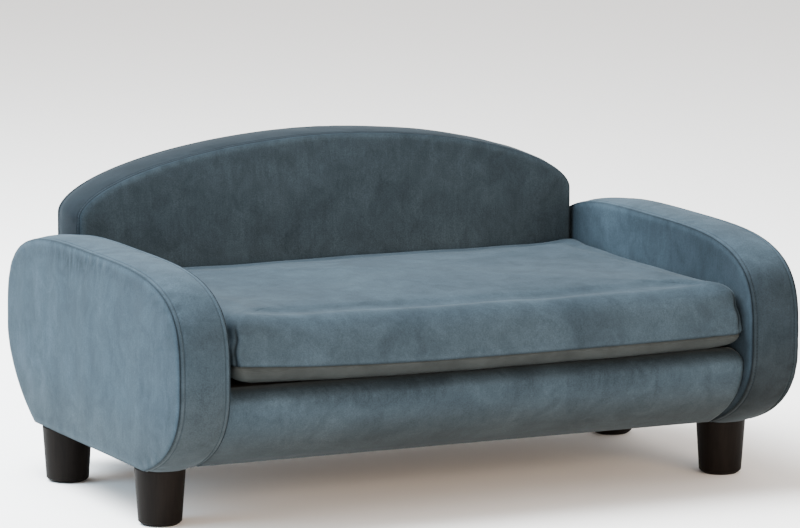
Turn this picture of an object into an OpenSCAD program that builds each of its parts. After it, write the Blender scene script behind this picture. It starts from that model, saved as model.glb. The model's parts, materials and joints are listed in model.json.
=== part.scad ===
// Dog sofa bed: two rounded arms, an arched back, an upholstered base with a soft
// front roll, a loose seat cushion with a zipped cover, and four tapered legs.
// Millimetres. The floor is z = 0, the front faces -Y, and the origin lies on the
// floor, midway between the arms and halfway along them.

/* [Overall] */
// Clear width between the two arms, seam to seam
seat_w = 700; // [640:2:780]
// Depth of the sofa over its arms
sofa_d = 552; // [520:2:590]

/* [Arms] */
// Thickness of an arm between its two seams
arm_t = 63; // [62:1:80]
// Height of an arm from its underside to its top
arm_h = 242; // [230:1:270]
// Height of the arm's fullest line above its underside
arm_waist_h = 109; // [98:1:122]
// Squareness of the arm's upper corners, where 2 is an ellipse
arm_top_power = 3.7; // [2.8:0.1:4.2]
// Squareness of the arm's lower front corner
arm_front_power = 2.3; // [2.1:0.1:2.8]
// Squareness of the arm's lower rear corner
arm_rear_power = 1.75; // [1.6:0.05:2.3]

/* [Back] */
// Thickness of the back between its two seams
back_t = 72; // [62:1:82]
// Height of the back from the arms' underside to the top of its arch
back_h = 339; // [315:1:370]
// Rise of the arch above the back's shoulders
back_rise = 89; // [72:1:110]
// Squareness of the arch, where 2 is an ellipse
back_power = 1.84; // [1.7:0.02:2.3]
// How far the back stands out behind the arms
back_stand = 8; // [2:1:14]

/* [Base] */
// Height of the base, underside to top
base_h = 102; // [90:1:112]
// How far the base's underside sits above the arms' underside
base_lift = 1; // [0.5:0.5:6]
// How far the base's front stays behind the arms' front
base_set = 20; // [8:1:30]
// Height of the rolled nose along the base's top front edge
base_nose_h = 14; // [10:1:20]
// Depth of the rolled nose along the base's top front edge
base_nose_d = 32; // [24:1:48]
// Squareness of the base's lower front edge
base_front_power = 2; // [1.8:0.1:2.6]

/* [Cushion] */
// Height of the cushion's seam above its underside
cushion_seam_h = 23; // [18:1:28]
// Height of the cushion's side above its seam
cushion_side_h = 58; // [50:1:70]
// Rise of the cushion's top from its edge to its middle
cushion_crown = 9; // [4:1:16]
// Gap between the cushion and each arm
cushion_side_gap = 6; // [3:1:14]
// Gap between the cushion and the back, where the zip lies
cushion_rear_gap = 12; // [11:1:24]
// How far the cushion's front corners stay behind the arms' front
cushion_set = 18; // [12:1:40]
// Forward bow of the cushion's front edge
cushion_bow = 4; // [2:1:12]
// Radius of the cushion's corners in plan
cushion_corner_r = 10; // [8:1:40]

/* [Legs] */
// Height of a leg
leg_h = 71; // [45:1:110]
// Diameter of a leg at its top
leg_top_d = 62; // [48:1:62]
// Diameter of a leg at the floor
leg_foot_d = 53; // [34:1:58]
// Distance from the front end of the arm's flat underside to the front leg's axis
leg_front_in = 26; // [24:1:60]
// Distance from the rear end of the arm's flat underside to the rear leg's axis
leg_rear_in = 28; // [24:1:60]

/* [Upholstery] */
// Thickness of the velvet cover
cover_t = 1.2; // [0.8:0.1:1.6]
// Thickness of the padding and cover on the arms' and the back's faces
face_pad = 9.5; // [8:0.5:11]
// Thickness of the padding and cover round the arms' and the back's edges
band_pad = 10; // [8:0.5:12]
// Width over which a padded face rolls into its seam
roll_w = 10; // [7:0.5:13]
// Height of that roll on the outward faces
roll_h = 3; // [2:0.5:4]
// Crown of an outward padded face
face_crown = 3; // [1:0.5:5]
// Height of the roll on the arms' inner faces
inner_roll_h = 2; // [1:0.5:3]
// Crown of the arms' inner faces
inner_crown = 1.5; // [0.5:0.5:3]
// Crown of the band between two seams
band_crown = 3; // [1:0.5:4]
// Thickness of the pad on the seat deck
deck_pad_t = 8; // [5:0.5:14]

/* [Frame] */
// Thickness of the arms' and the back's plywood boards
board_t = 9; // [8:0.5:12]
// Thickness of the bent strip round the boards' rims
strip_t = 3; // [2:0.5:4]
// Thickness of the base's rails
rail_t = 18; // [15:1:22]
// Thickness of the seat deck
deck_t = 6; // [4:0.5:10]
// Height of the rails between an arm's or the back's boards
spacer_h = 30; // [24:1:36]
// Radius of the bolts
bolt_r = 4; // [3:0.5:4]

/* [Hidden] */

// Gap between a cover and the padding under it, and between parts that nearly touch
play = 0.3;
// Gap round a bolt in its hole
bolt_play = 0.3;
// How far a cutter runs past the face that it cuts
overrun = 1;

// Steps along the outlines: over the top, down each lower corner, along the bottom
top_steps = 22;
under_steps = 6;
foot_steps = 8;
arch_steps = 24;
head_steps = 12;
band_steps = 4;
// Where a padded face's loops lie: shares of the roll, then shares of what is inside it
roll_shares = [0, 0.3, 1];
crown_shares = [0.8, 0.5];
// How much of the drop to a full curve the arm's lower corners use before the underside cuts them
arm_front_cut_share = 0.855;
arm_rear_cut_share = 0.671;
base_cut_share = 0.753;

$fn = 48;

arm_top_z = leg_h + arm_h;
arm_waist_z = leg_h + arm_waist_h;
arm_half_d = sofa_d / 2 - band_crown;
arm_front_drop = arm_waist_h / arm_front_cut_share;
arm_rear_drop = arm_waist_h / arm_rear_cut_share;
inner_rise = inner_roll_h + inner_crown;
outer_rise = roll_h + face_crown;
fill_inset = cover_t + play;
frame_t = arm_t - 2 * face_pad;
spacer_t = frame_t - 2 * board_t;

base_bottom_z = leg_h + base_lift;
base_top_z = base_bottom_z + base_h;
base_w = seat_w - 2 * (inner_rise + play);
base_front_y = base_set - sofa_d / 2;
base_nose_z = base_top_z - base_nose_h;
base_front_drop = (base_nose_z - base_bottom_z) / base_cut_share;

back_rear_seam_y = sofa_d / 2 + back_stand - outer_rise;
back_front_seam_y = back_rear_seam_y - back_t;
back_half_w = seat_w / 2 - inner_rise - play - band_crown;
back_top_z = leg_h + back_h - band_crown;
back_frame_t = back_t - 2 * face_pad;
back_spacer_t = back_frame_t - 2 * board_t;
base_rear_y = back_front_seam_y - outer_rise - play;

// Points on the arms' and the back's outlines

// Unit normal of the step from p to q, to the right of the way it goes
function right_normal(p, q) = let (d = q - p) [d.y, -d.x] / norm(d);

// Points of an open line moved to its right by d, mitred where it turns
function moved(line, d) = let (
        last = len(line) - 1,
        steps = [for (i = [0:last - 1]) right_normal(line[i], line[i + 1])]
    ) [for (i = [0:last]) let (
        a = steps[max(i - 1, 0)],
        b = steps[min(i, last - 1)]
    ) line[i] + d * (a + b) / (1 + a * b)];

// The point at height z on the line through p and q
function at_height(p, q, z) = p + (q - p) * (z - p.y) / (q.y - p.y);

// An open line with its two ends drawn to height z along their last steps
function footed(line, z) = let (last = len(line) - 1) concat(
    [at_height(line[0], line[1], z)],
    [for (i = [1:last - 1]) line[i]],
    [at_height(line[last], line[last - 1], z)]
);

// An open line closed along its foot
function closed(line) = let (p = line[len(line) - 1], q = line[0]) concat(
    line,
    [for (i = [1:foot_steps - 1]) p + (q - p) * i / foot_steps]
);

// A closed outline that lies inset inside the arc and stands on height z
function outline(arc, inset, z) = closed(footed(moved(arc, inset), z));

// Quarter of a squared ellipse, from its side at 0 degrees to its top at 90
function squared(a, b, power, angle) = [
    a * pow(cos(angle), 2 / power),
    b * pow(sin(angle), 2 / power)
];

// Angle at which a lower corner has used its share of the drop
function cut_angle(share, power) = asin(pow(share, power / 2));

// Arm outline as [y, z], from the lower front corner over the top to the lower rear corner
arm_front_angle = cut_angle(arm_front_cut_share, arm_front_power);
arm_rear_angle = cut_angle(arm_rear_cut_share, arm_rear_power);
arm_arc = concat(
    [for (i = [0:under_steps - 1]) let (
        p = squared(arm_half_d, arm_front_drop, arm_front_power, arm_front_angle * (1 - i / under_steps))
    ) [-p.x, arm_waist_z - p.y]],
    [for (i = [0:top_steps]) let (
        half = top_steps / 2,
        p = squared(arm_half_d, arm_h - arm_waist_h - band_crown, arm_top_power, 90 * min(i, top_steps - i) / half)
    ) [i < half ? -p.x : p.x, arm_waist_z + p.y]],
    [for (i = [1:under_steps]) let (
        p = squared(arm_half_d, arm_rear_drop, arm_rear_power, arm_rear_angle * i / under_steps)
    ) [p.x, arm_waist_z - p.y]]
);

// Back outline as [x, z]: up the left side, along the arch and down again
back_shoulder_z = back_top_z - back_rise;
back_arc = concat(
    [[-back_half_w, base_bottom_z]],
    [for (i = [0:arch_steps]) let (
        half = arch_steps / 2,
        p = squared(back_half_w, back_rise, back_power, 90 * min(i, arch_steps - i) / half)
    ) [i < half ? -p.x : p.x, back_shoulder_z + p.y]],
    [[back_half_w, base_bottom_z]]
);

// Height of the arch at x
function arch_z(x) = back_shoulder_z + back_rise * pow(1 - pow(abs(x) / back_half_w, back_power), 1 / back_power);

// Base front as [y, z], from its underside forwards and over the nose
base_front_angle = cut_angle(base_cut_share, base_front_power);
base_curve_steps = 12;
base_nose_steps = 7;
base_curve = concat(
    [for (i = [0:base_curve_steps - 1]) let (
        p = squared(-base_front_y, base_front_drop, base_front_power, base_front_angle * (1 - i / base_curve_steps))
    ) [-p.x, base_nose_z - p.y]],
    [for (i = [0:base_nose_steps]) let (angle = 90 * i / base_nose_steps)
        [base_front_y + base_nose_d * (1 - cos(angle)), base_nose_z + base_nose_h * sin(angle)]]
);

// Closed surfaces from stacked loops

// Triangles between loops k and k + 1 of n points each
function ring_faces(k, n) = [for (i = [0:n - 1]) let (j = (i + 1) % n, a = k * n, b = a + n)
    each [[a + i, b + i, b + j], [a + i, b + j, a + j]]];

// Solid from loops, closed at each end by a fan to its tip
module domed(loops, first_tip, last_tip) {
    n = len(loops[0]);
    count = len(loops);
    tip = n * count;
    polyhedron(
        points = concat([for (loop = loops) each loop], [first_tip, last_tip]),
        faces = concat(
            [for (i = [0:n - 1]) [tip, i, (i + 1) % n]],
            [for (k = [0:count - 2]) each ring_faces(k, n)],
            [for (i = [0:n - 1]) [tip - n + i, tip + 1, tip - n + (i + 1) % n]]
        )
    );
}

// Solid from loops that are each a folded strip: out along one edge and back along the other
module swept(loops) {
    n = len(loops[0]);
    half = n / 2;
    end = n * (len(loops) - 1);
    polyhedron(
        points = [for (loop = loops) each loop],
        faces = concat(
            [for (i = [0:half - 2]) each [[i, i + 1, n - 2 - i], [i, n - 2 - i, n - 1 - i]]],
            [for (k = [0:len(loops) - 2]) each ring_faces(k, n)],
            [for (i = [0:half - 2]) each [[end + i, end + n - 2 - i, end + i + 1],
                [end + i, end + n - 1 - i, end + n - 2 - i]]]
        )
    );
}

function raised(loop, w) = [for (p = loop) [p.x, p.y, w]];
function reversed(list) = [for (i = [len(list) - 1:-1:0]) list[i]];
function middle(loop) = let (n = len(loop)) [for (axis = [0:1]) let (values = [for (p = loop) p[axis]])
    (min(values) + max(values)) / 2];
function shrunk(loop, share) = let (c = middle(loop)) [for (p = loop) c + (p - c) * share];
function roll_rise(share, height) = height * sqrt(1 - pow(1 - share, 2));

// Loops of a padded face, from its seam to its middle. side is 1 for the face at the high end of
// the thickness and -1 for the low end, and seam_w is where its seam lies.
function face_loops(arc, foot_z, inset, seam_w, side, roll, crown) = let (
        inner = outline(arc, inset + roll_w, foot_z + inset + roll_w)
    ) concat(
        [for (share = roll_shares) let (d = inset + roll_w * share)
            raised(outline(arc, d, foot_z + d), seam_w + side * (roll_rise(share, roll) - inset))],
        [for (share = crown_shares)
            raised(shrunk(inner, share), seam_w + side * (roll + crown * (1 - share * share) - inset))]
    );

function face_tip(arc, foot_z, inset, seam_w, side, roll, crown) = let (
        c = middle(outline(arc, inset + roll_w, foot_z + inset + roll_w))
    ) [c.x, c.y, seam_w + side * (roll + crown - inset)];

// Velvet panel over a padded face
module panel(arc, foot_z, seam_w, side, roll, crown) {
    outer = face_loops(arc, foot_z, 0, seam_w, side, roll, crown);
    inner = face_loops(arc, foot_z, cover_t, seam_w, side, roll, crown);
    outer_tip = face_tip(arc, foot_z, 0, seam_w, side, roll, crown);
    inner_tip = face_tip(arc, foot_z, cover_t, seam_w, side, roll, crown);
    if (side > 0)
        domed(concat(reversed(outer), inner), outer_tip, inner_tip);
    else
        domed(concat(reversed(inner), outer), inner_tip, outer_tip);
}

// How far the band stands out at a share of its width
function band_rise(share) = band_crown * (1 - pow(2 * share - 1, 2));

// Velvet band round a slab's edge, open along its foot
module band(arc, foot_z, thickness) {
    columns = [for (side = [0, 1], j = [0:band_steps]) let (
        share = side == 0 ? j / band_steps : 1 - j / band_steps,
        inset = side * cover_t
    ) [
        footed(moved(arc, inset - band_rise(share)), foot_z),
        inset + (thickness - 2 * inset) * share
    ]];
    swept([for (i = [0:len(arc) - 1]) [for (c = columns) [c[0][i].x, c[0][i].y, c[1]]]]);
}

// Padding of a slab, hollow for its frame and open along its foot
module slab_foam(arc, foot_z, thickness, low_roll, low_crown, high_roll, high_crown) {
    high = face_loops(arc, foot_z, fill_inset, thickness, 1, high_roll, high_crown);
    low = face_loops(arc, foot_z, fill_inset, 0, -1, low_roll, low_crown);
    edge = [for (j = [band_steps - 1:-1:1]) let (share = j / band_steps)
        raised(outline(arc, fill_inset - band_rise(share), foot_z + fill_inset),
            fill_inset + (thickness - 2 * fill_inset) * share)];
    difference() {
        domed(
            concat(reversed(high), edge, low),
            face_tip(arc, foot_z, fill_inset, thickness, 1, high_roll, high_crown),
            face_tip(arc, foot_z, fill_inset, 0, -1, low_roll, low_crown)
        );
        translate([0, 0, face_pad - play])
            linear_extrude(thickness - 2 * (face_pad - play))
                polygon(outline(arc, band_pad - play, foot_z - overrun));
    }
}

// Thin strip bent round the rims of a slab's boards
module slab_strip(arc, foot_z, thickness) {
    outer = footed(moved(arc, band_pad), foot_z + fill_inset);
    inner = footed(moved(arc, band_pad + strip_t), foot_z + fill_inset);
    translate([0, 0, face_pad])
        linear_extrude(thickness - 2 * face_pad)
            polygon(concat(outer, reversed(inner)));
}

// One of a slab's two boards, its lower face at w
module slab_board(arc, foot_z, w) {
    translate([0, 0, w])
        linear_extrude(board_t)
            polygon(outline(arc, band_pad + strip_t, foot_z + fill_inset));
}

// Fasteners

tee_wall = 1.2;
tee_barrel_r = bolt_r + tee_wall;
tee_flange_r = 10;
tee_flange_t = 1.5;
tee_barrel_l = board_t - play;
bolt_head_r = 7;
bolt_head_h = 5;
bolt_washer_r = 9;
bolt_washer_t = 1.6;

// Tee nut with its flange's bearing face at z = 0 and its barrel reaching down
module tee_nut() {
    difference() {
        union() {
            cylinder(r = tee_flange_r, h = tee_flange_t);
            translate([0, 0, -tee_barrel_l])
                cylinder(r = tee_barrel_r, h = tee_barrel_l + tee_flange_t);
        }
        translate([0, 0, -tee_barrel_l - overrun])
            cylinder(r = bolt_r + bolt_play, h = tee_barrel_l + tee_flange_t + 2 * overrun);
    }
}

// Socket screw with a washer face, its head below z = 0 and its shank rising
module frame_bolt(length) {
    hex_across = bolt_r * 1.25;
    hex_depth = bolt_head_h / 2;
    cylinder(r = bolt_r, h = length);
    translate([0, 0, -bolt_washer_t])
        cylinder(r = bolt_washer_r, h = bolt_washer_t);
    difference() {
        translate([0, 0, -bolt_washer_t - bolt_head_h])
            cylinder(r = bolt_head_r, h = bolt_head_h);
        translate([0, 0, -bolt_washer_t - bolt_head_h - overrun])
            cylinder(d = hex_across, h = hex_depth + overrun, $fn = 6);
    }
}

frame_bolt_z = base_bottom_z + base_h / 2;
arm_bolt_shares = [-0.19, 0, 0.275];
arm_bolt_ys = sofa_d * arm_bolt_shares;
back_bolt_xs = [-seat_w / 3, 0, seat_w / 3];
arm_foot = footed(arm_arc, leg_h);
leg_ys = [arm_foot[0].x + leg_front_in, arm_foot[len(arm_foot) - 1].x - leg_rear_in];
leg_x = seat_w / 2 + arm_t / 2;

// Arms, in a frame with the outline in its plane and the thickness from 0 at the inner seam

module at_right_arm() translate([seat_w / 2, 0, 0]) rotate([90, 0, 90]) children();
module at_left_arm() mirror([1, 0, 0]) at_right_arm() children();

module arm_bolt_holes(radius, from, length) {
    for (y = arm_bolt_ys)
        translate([y, frame_bolt_z, from])
            cylinder(r = radius, h = length);
}

module arm_leg_holes(radius, from, length) {
    for (y = leg_ys)
        translate([y, from, arm_t / 2])
            rotate([-90, 0, 0])
                cylinder(r = radius, h = length);
}

module arm_outer_panel() panel(arm_arc, leg_h, arm_t, 1, roll_h, face_crown);

module arm_inner_panel() {
    difference() {
        panel(arm_arc, leg_h, 0, -1, inner_roll_h, inner_crown);
        arm_bolt_holes(bolt_r + bolt_play, -inner_rise - overrun, inner_rise + cover_t + 2 * overrun);
    }
}

module arm_band() band(arm_arc, leg_h, arm_t);

// Cloth under an arm, between the ends of its band
module arm_underside() {
    front_y = arm_foot[0].x + cover_t + play;
    rear_y = arm_foot[len(arm_foot) - 1].x - cover_t - play;
    difference() {
        translate([front_y, leg_h, fill_inset])
            cube([rear_y - front_y, cover_t, arm_t - 2 * fill_inset]);
        arm_leg_holes(bolt_r + bolt_play, leg_h - overrun, cover_t + 2 * overrun);
    }
}

module arm_foam() {
    difference() {
        slab_foam(arm_arc, leg_h, arm_t, inner_roll_h, inner_crown, roll_h, face_crown);
        arm_leg_holes(bolt_r + bolt_play, leg_h, spacer_h);
        arm_bolt_holes(bolt_r + bolt_play, -inner_rise - overrun, inner_rise + face_pad + overrun);
    }
}

// Strip bent over the arm's rims, from the top of the leg rail round to the same height
module arm_edge_strip() {
    difference() {
        slab_strip(arm_arc, leg_h, arm_t);
        translate([-sofa_d, leg_h, -overrun])
            cube([2 * sofa_d, arm_rail_top_z - leg_h, arm_t + 2 * overrun]);
    }
}

module arm_outer_board() slab_board(arm_arc, leg_h, arm_t - face_pad - board_t);

module arm_inner_board() {
    difference() {
        slab_board(arm_arc, leg_h, face_pad);
        arm_bolt_holes(tee_barrel_r + bolt_play, face_pad - overrun, board_t + 2 * overrun);
    }
}

arm_frame_inset = band_pad + strip_t;
arm_stile_w = spacer_h;
arm_rail_top_z = leg_h + fill_inset + spacer_h;
arm_head_top_z = arm_top_z - band_crown - arm_frame_inset - spacer_h / 3;
arm_head_half = arm_half_d / 2;
arm_stile_y = arm_half_d / 4;

// Rails and stiles between an arm's boards
module arm_spacers() {
    translate([0, 0, face_pad + board_t]) {
        difference() {
            linear_extrude(spacer_t)
                intersection() {
                    polygon(outline(arm_arc, arm_frame_inset + play, leg_h + fill_inset));
                    translate([-sofa_d / 2, leg_h])
                        square([sofa_d, fill_inset + spacer_h]);
                }
            translate([0, 0, -face_pad - board_t])
                arm_leg_holes(tee_barrel_r + bolt_play, leg_h, spacer_h + fill_inset + overrun);
        }
        translate([-arm_head_half, arm_head_top_z - spacer_h, 0])
            cube([2 * arm_head_half, spacer_h, spacer_t]);
        for (y = [-arm_stile_y, arm_stile_y])
            translate([y - arm_stile_w / 2, arm_rail_top_z + play, 0])
                cube([arm_stile_w, arm_head_top_z - spacer_h - arm_rail_top_z - 2 * play, spacer_t]);
    }
}

// Back, in a frame with the outline in its plane and the thickness from 0 at the rear seam

module at_back() translate([0, back_rear_seam_y, 0]) rotate([90, 0, 0]) children();

module back_bolt_holes(radius, from, length) {
    for (x = back_bolt_xs)
        translate([x, frame_bolt_z, from])
            cylinder(r = radius, h = length);
}

module back_front_panel() {
    difference() {
        panel(back_arc, base_bottom_z, back_t, 1, roll_h, face_crown);
        back_bolt_holes(bolt_r + bolt_play, back_t - cover_t - overrun, outer_rise + cover_t + 2 * overrun);
    }
}

module back_rear_panel() panel(back_arc, base_bottom_z, 0, -1, roll_h, face_crown);

module back_band() band(back_arc, base_bottom_z, back_t);

// Cloth under the back, between the ends of its band
module back_underside() {
    half = back_half_w - cover_t - play;
    translate([-half, base_bottom_z, fill_inset])
        cube([2 * half, cover_t, back_t - 2 * fill_inset]);
}

module back_foam() {
    difference() {
        slab_foam(back_arc, base_bottom_z, back_t, roll_h, face_crown, roll_h, face_crown);
        back_bolt_holes(bolt_r + bolt_play, back_t - face_pad - overrun, outer_rise + face_pad + 2 * overrun);
    }
}

module back_edge_strip() slab_strip(back_arc, base_bottom_z, back_t);

module back_front_board() {
    difference() {
        slab_board(back_arc, base_bottom_z, back_t - face_pad - board_t);
        back_bolt_holes(tee_barrel_r + bolt_play, back_t - face_pad - board_t - overrun, board_t + 2 * overrun);
    }
}

module back_rear_board() slab_board(back_arc, base_bottom_z, face_pad);

back_frame_half = back_half_w - arm_frame_inset - play;
back_rail_top_z = base_bottom_z + fill_inset + spacer_h;
back_head_half = back_half_w - back_rise;
back_head_drop = arm_frame_inset + spacer_h / 3;
back_head_xs = [for (i = [0:head_steps]) back_head_half * (2 * i / head_steps - 1)];
back_stile_x = back_frame_half / 2;
back_stile_top_z = arch_z(back_stile_x + spacer_h / 2) - back_head_drop - spacer_h - play;

// Rails and stiles between the back's boards
module back_spacers() {
    translate([0, 0, face_pad + board_t]) {
        translate([-back_frame_half, base_bottom_z + fill_inset, 0])
            cube([2 * back_frame_half, spacer_h, back_spacer_t]);
        linear_extrude(back_spacer_t)
            polygon(concat(
                [for (x = back_head_xs) [x, arch_z(x) - back_head_drop]],
                [for (x = back_head_xs) [-x, arch_z(x) - back_head_drop - spacer_h]]
            ));
        for (side = [-1, 1])
            translate([side * back_stile_x - spacer_h / 2, back_rail_top_z + play, 0])
                cube([spacer_h, back_stile_top_z - back_rail_top_z - play, back_spacer_t]);
    }
}

// Base

deck_top_z = base_top_z - fill_inset - deck_pad_t;
deck_bottom_z = deck_top_z - deck_t;
deck_front_y = base_front_y + base_nose_d + play;
rail_bottom_z = base_bottom_z + fill_inset;
roll_curve = moved(base_curve, fill_inset);
rail_front_y = roll_curve[0].x + play;
base_half_w = base_w / 2;
cross_rail_share = 1 / 3;
cross_rail_h = (deck_bottom_z - rail_bottom_z) * 2 / 3;
cover_turn = rail_t / 2;

// Sheet or block across the base, from a section given as [y, z]
module base_section(points, half) {
    translate([-half, 0, 0])
        rotate([90, 0, 90])
            linear_extrude(2 * half)
                polygon(points);
}

module base_front_cover() {
    last = base_curve[len(base_curve) - 1];
    outer = concat([[rail_front_y + cover_turn, base_bottom_z]], base_curve, [[last.x + cover_turn, base_top_z]]);
    inner = concat(
        [[rail_front_y + cover_turn, base_bottom_z + cover_t]],
        moved(base_curve, cover_t),
        [[last.x + cover_turn, base_top_z - cover_t]]
    );
    base_section(concat(outer, reversed(inner)), base_half_w);
}

module base_front_roll() {
    last = roll_curve[len(roll_curve) - 1];
    base_section(concat(
        roll_curve,
        [[last.x, deck_bottom_z - play], [roll_curve[0].x, deck_bottom_z - play]]
    ), base_half_w);
}

module base_deck_cloth() {
    front_y = base_curve[len(base_curve) - 1].x + cover_turn + play;
    translate([-base_half_w, front_y, base_top_z - cover_t])
        cube([base_w, base_rear_y - front_y, cover_t]);
}

module base_deck_pad() {
    translate([-base_half_w, deck_front_y, deck_top_z])
        cube([base_w, base_rear_y - deck_front_y, deck_pad_t]);
}

module base_deck() {
    translate([-base_half_w, deck_front_y, deck_bottom_z])
        cube([base_w, base_rear_y - deck_front_y, deck_t]);
}

module base_front_rail() {
    translate([-base_half_w, rail_front_y, rail_bottom_z])
        cube([base_w, rail_t, deck_bottom_z - rail_bottom_z]);
}

module base_rear_rail() {
    difference() {
        translate([-base_half_w, base_rear_y - rail_t, rail_bottom_z])
            cube([base_w, rail_t, deck_bottom_z - rail_bottom_z]);
        for (x = back_bolt_xs)
            translate([x, base_rear_y - rail_t - overrun, frame_bolt_z])
                rotate([-90, 0, 0])
                    cylinder(r = bolt_r + bolt_play, h = rail_t + 2 * overrun);
    }
}

module base_right_rail() {
    difference() {
        translate([base_half_w - rail_t, rail_front_y + rail_t, rail_bottom_z])
            cube([rail_t, base_rear_y - rail_front_y - 2 * rail_t, deck_bottom_z - rail_bottom_z]);
        for (y = arm_bolt_ys)
            translate([base_half_w - rail_t - overrun, y, frame_bolt_z])
                rotate([0, 90, 0])
                    cylinder(r = bolt_r + bolt_play, h = rail_t + 2 * overrun);
    }
}

module base_left_rail() mirror([1, 0, 0]) base_right_rail();

module base_cross_rails() {
    for (side = [-1, 1])
        translate([side * base_half_w * cross_rail_share - rail_t / 2, rail_front_y + rail_t, deck_bottom_z - cross_rail_h])
            cube([rail_t, base_rear_y - rail_front_y - 2 * rail_t, cross_rail_h]);
}

// Cloth under the base, from the front cover's turned-in edge to the rear rail
module base_dust_cover() {
    front_y = rail_front_y + cover_turn + play;
    translate([-base_half_w, front_y, base_bottom_z])
        cube([base_w, base_rear_y - front_y, cover_t]);
}

// Legs and fasteners

leg_pad_h = 2;
leg_pad_rim = 3;
leg_edge = 2.5;
hanger_in_leg = leg_h * 0.45;

module leg() {
    foot_r = leg_foot_d / 2;
    top_r = leg_top_d / 2;
    difference() {
        rotate_extrude()
            polygon([[0, leg_pad_h], [foot_r - leg_edge, leg_pad_h], [foot_r, leg_pad_h + leg_edge],
                [top_r, leg_h - leg_edge], [top_r - leg_edge / 2, leg_h], [0, leg_h]]);
        translate([0, 0, leg_h - hanger_in_leg - play])
            cylinder(r = bolt_r + bolt_play, h = hanger_in_leg + play + overrun);
    }
}

module front_right_leg() translate([leg_x, leg_ys[0], 0]) leg();
module rear_right_leg() translate([leg_x, leg_ys[1], 0]) leg();
module front_left_leg() translate([-leg_x, leg_ys[0], 0]) leg();
module rear_left_leg() translate([-leg_x, leg_ys[1], 0]) leg();

// Non-slip pads under the legs
module leg_pads() {
    for (side = [-1, 1], y = leg_ys)
        translate([side * leg_x, y, 0])
            cylinder(r = leg_foot_d / 2 - leg_edge - leg_pad_rim, h = leg_pad_h);
}

module leg_hanger_bolts() {
    for (side = [-1, 1], y = leg_ys)
        translate([side * leg_x, y, leg_h - hanger_in_leg])
            cylinder(r = bolt_r, h = hanger_in_leg + fill_inset + spacer_h + tee_flange_t);
}

module frame_bolts() {
    arm_reach = rail_t + (seat_w - base_w) / 2 + face_pad + board_t;
    back_reach = rail_t + back_front_seam_y - base_rear_y + face_pad + board_t;
    for (side = [0, 1], y = arm_bolt_ys)
        mirror([side, 0, 0])
            translate([base_half_w - rail_t, y, frame_bolt_z])
                rotate([0, 90, 0])
                    frame_bolt(arm_reach + tee_flange_t);
    for (x = back_bolt_xs)
        translate([x, base_rear_y - rail_t, frame_bolt_z])
            rotate([-90, 0, 0])
                frame_bolt(back_reach + tee_flange_t);
}

module tee_nuts() {
    for (side = [0, 1])
        mirror([side, 0, 0]) {
            for (y = arm_bolt_ys)
                translate([seat_w / 2 + face_pad + board_t, y, frame_bolt_z])
                    rotate([0, 90, 0])
                        tee_nut();
            for (y = leg_ys)
                translate([leg_x, y, arm_rail_top_z])
                    tee_nut();
        }
    for (x = back_bolt_xs)
        translate([x, back_front_seam_y + face_pad + board_t, frame_bolt_z])
            rotate([-90, 0, 0])
                tee_nut();
}

// Cushion

cushion_z = base_top_z + play;
cushion_half_w = seat_w / 2 - inner_rise - cushion_side_gap;
cushion_rear_y = back_front_seam_y - outer_rise - cushion_rear_gap;
cushion_front_y = cushion_set - sofa_d / 2;
cushion_depth = cushion_rear_y - cushion_front_y;
cushion_side_steps = 6;
cushion_front_steps = 10;
cushion_round_steps = 5;

// Seam outline of the cushion moved inwards by inset, clockwise from its front left corner
function cushion_plan(inset) = let (
        r = cushion_corner_r,
        x = cushion_half_w - inset - r,
        front = cushion_front_y + inset + r,
        rear = cushion_rear_y - inset - r,
        bow = cushion_bow
    ) concat(
        [for (i = [0:cushion_side_steps - 1]) [-x - r, front + (rear - front) * i / cushion_side_steps]],
        [for (i = [0:cushion_round_steps - 1]) let (turn = 180 - 90 * i / cushion_round_steps)
            [-x + r * cos(turn), rear + r * sin(turn)]],
        [for (i = [0:cushion_side_steps - 1]) [-x + 2 * x * i / cushion_side_steps, rear + r]],
        [for (i = [0:cushion_round_steps - 1]) let (turn = 90 - 90 * i / cushion_round_steps)
            [x + r * cos(turn), rear + r * sin(turn)]],
        [for (i = [0:cushion_side_steps - 1]) [x + r, rear - (rear - front) * i / cushion_side_steps]],
        [for (i = [0:cushion_round_steps - 1]) let (turn = -90 * i / cushion_round_steps)
            [x + r * cos(turn), front + r * sin(turn)]],
        [for (i = [0:cushion_front_steps - 1]) let (share = 1 - 2 * i / cushion_front_steps)
            [x * share, front - r - bow * (1 - share * share)]],
        [for (i = [0:cushion_round_steps - 1]) let (turn = -90 - 90 * i / cushion_round_steps)
            [-x + r * cos(turn), front + r * sin(turn)]]
    );

// Loop of the cushion's outline at a height above its seam, its front drawn back by lean
function cushion_loop(inset, z, lean) = [for (p = cushion_plan(inset))
    [p.x, cushion_rear_y + (p.y - cushion_rear_y) * (1 - lean / cushion_depth), cushion_z + z]];

cushion_roll = 38;
cushion_lean = 14;
cushion_top_power = 2.6;
cushion_under_roll = 60;
cushion_under_power = 1.4;
cushion_top_angles = [0, 18, 36, 54, 72, 90];
cushion_under_angles = [0, 25, 50, 72, 90];
cushion_crown_shares = [0.88, 0.66, 0.36];

function cushion_top_loops(inset) = let (
        side = cushion_side_h - inset,
        roll = cushion_roll - inset,
        rim = cushion_loop(inset + roll, cushion_seam_h + side, cushion_lean)
    ) concat(
        [for (angle = cushion_top_angles) let (p = squared(roll, side, cushion_top_power, angle))
            cushion_loop(inset + roll - p.x, cushion_seam_h + p.y, cushion_lean * p.y / side)],
        [for (share = cushion_crown_shares)
            raised(shrunk(rim, share), cushion_z + cushion_seam_h + side + cushion_crown * (1 - share * share))]
    );

function cushion_top_tip(inset) = let (
        c = middle(cushion_loop(cushion_roll, 0, cushion_lean))
    ) [c.x, c.y, cushion_z + cushion_seam_h + cushion_side_h - inset + cushion_crown];

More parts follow.
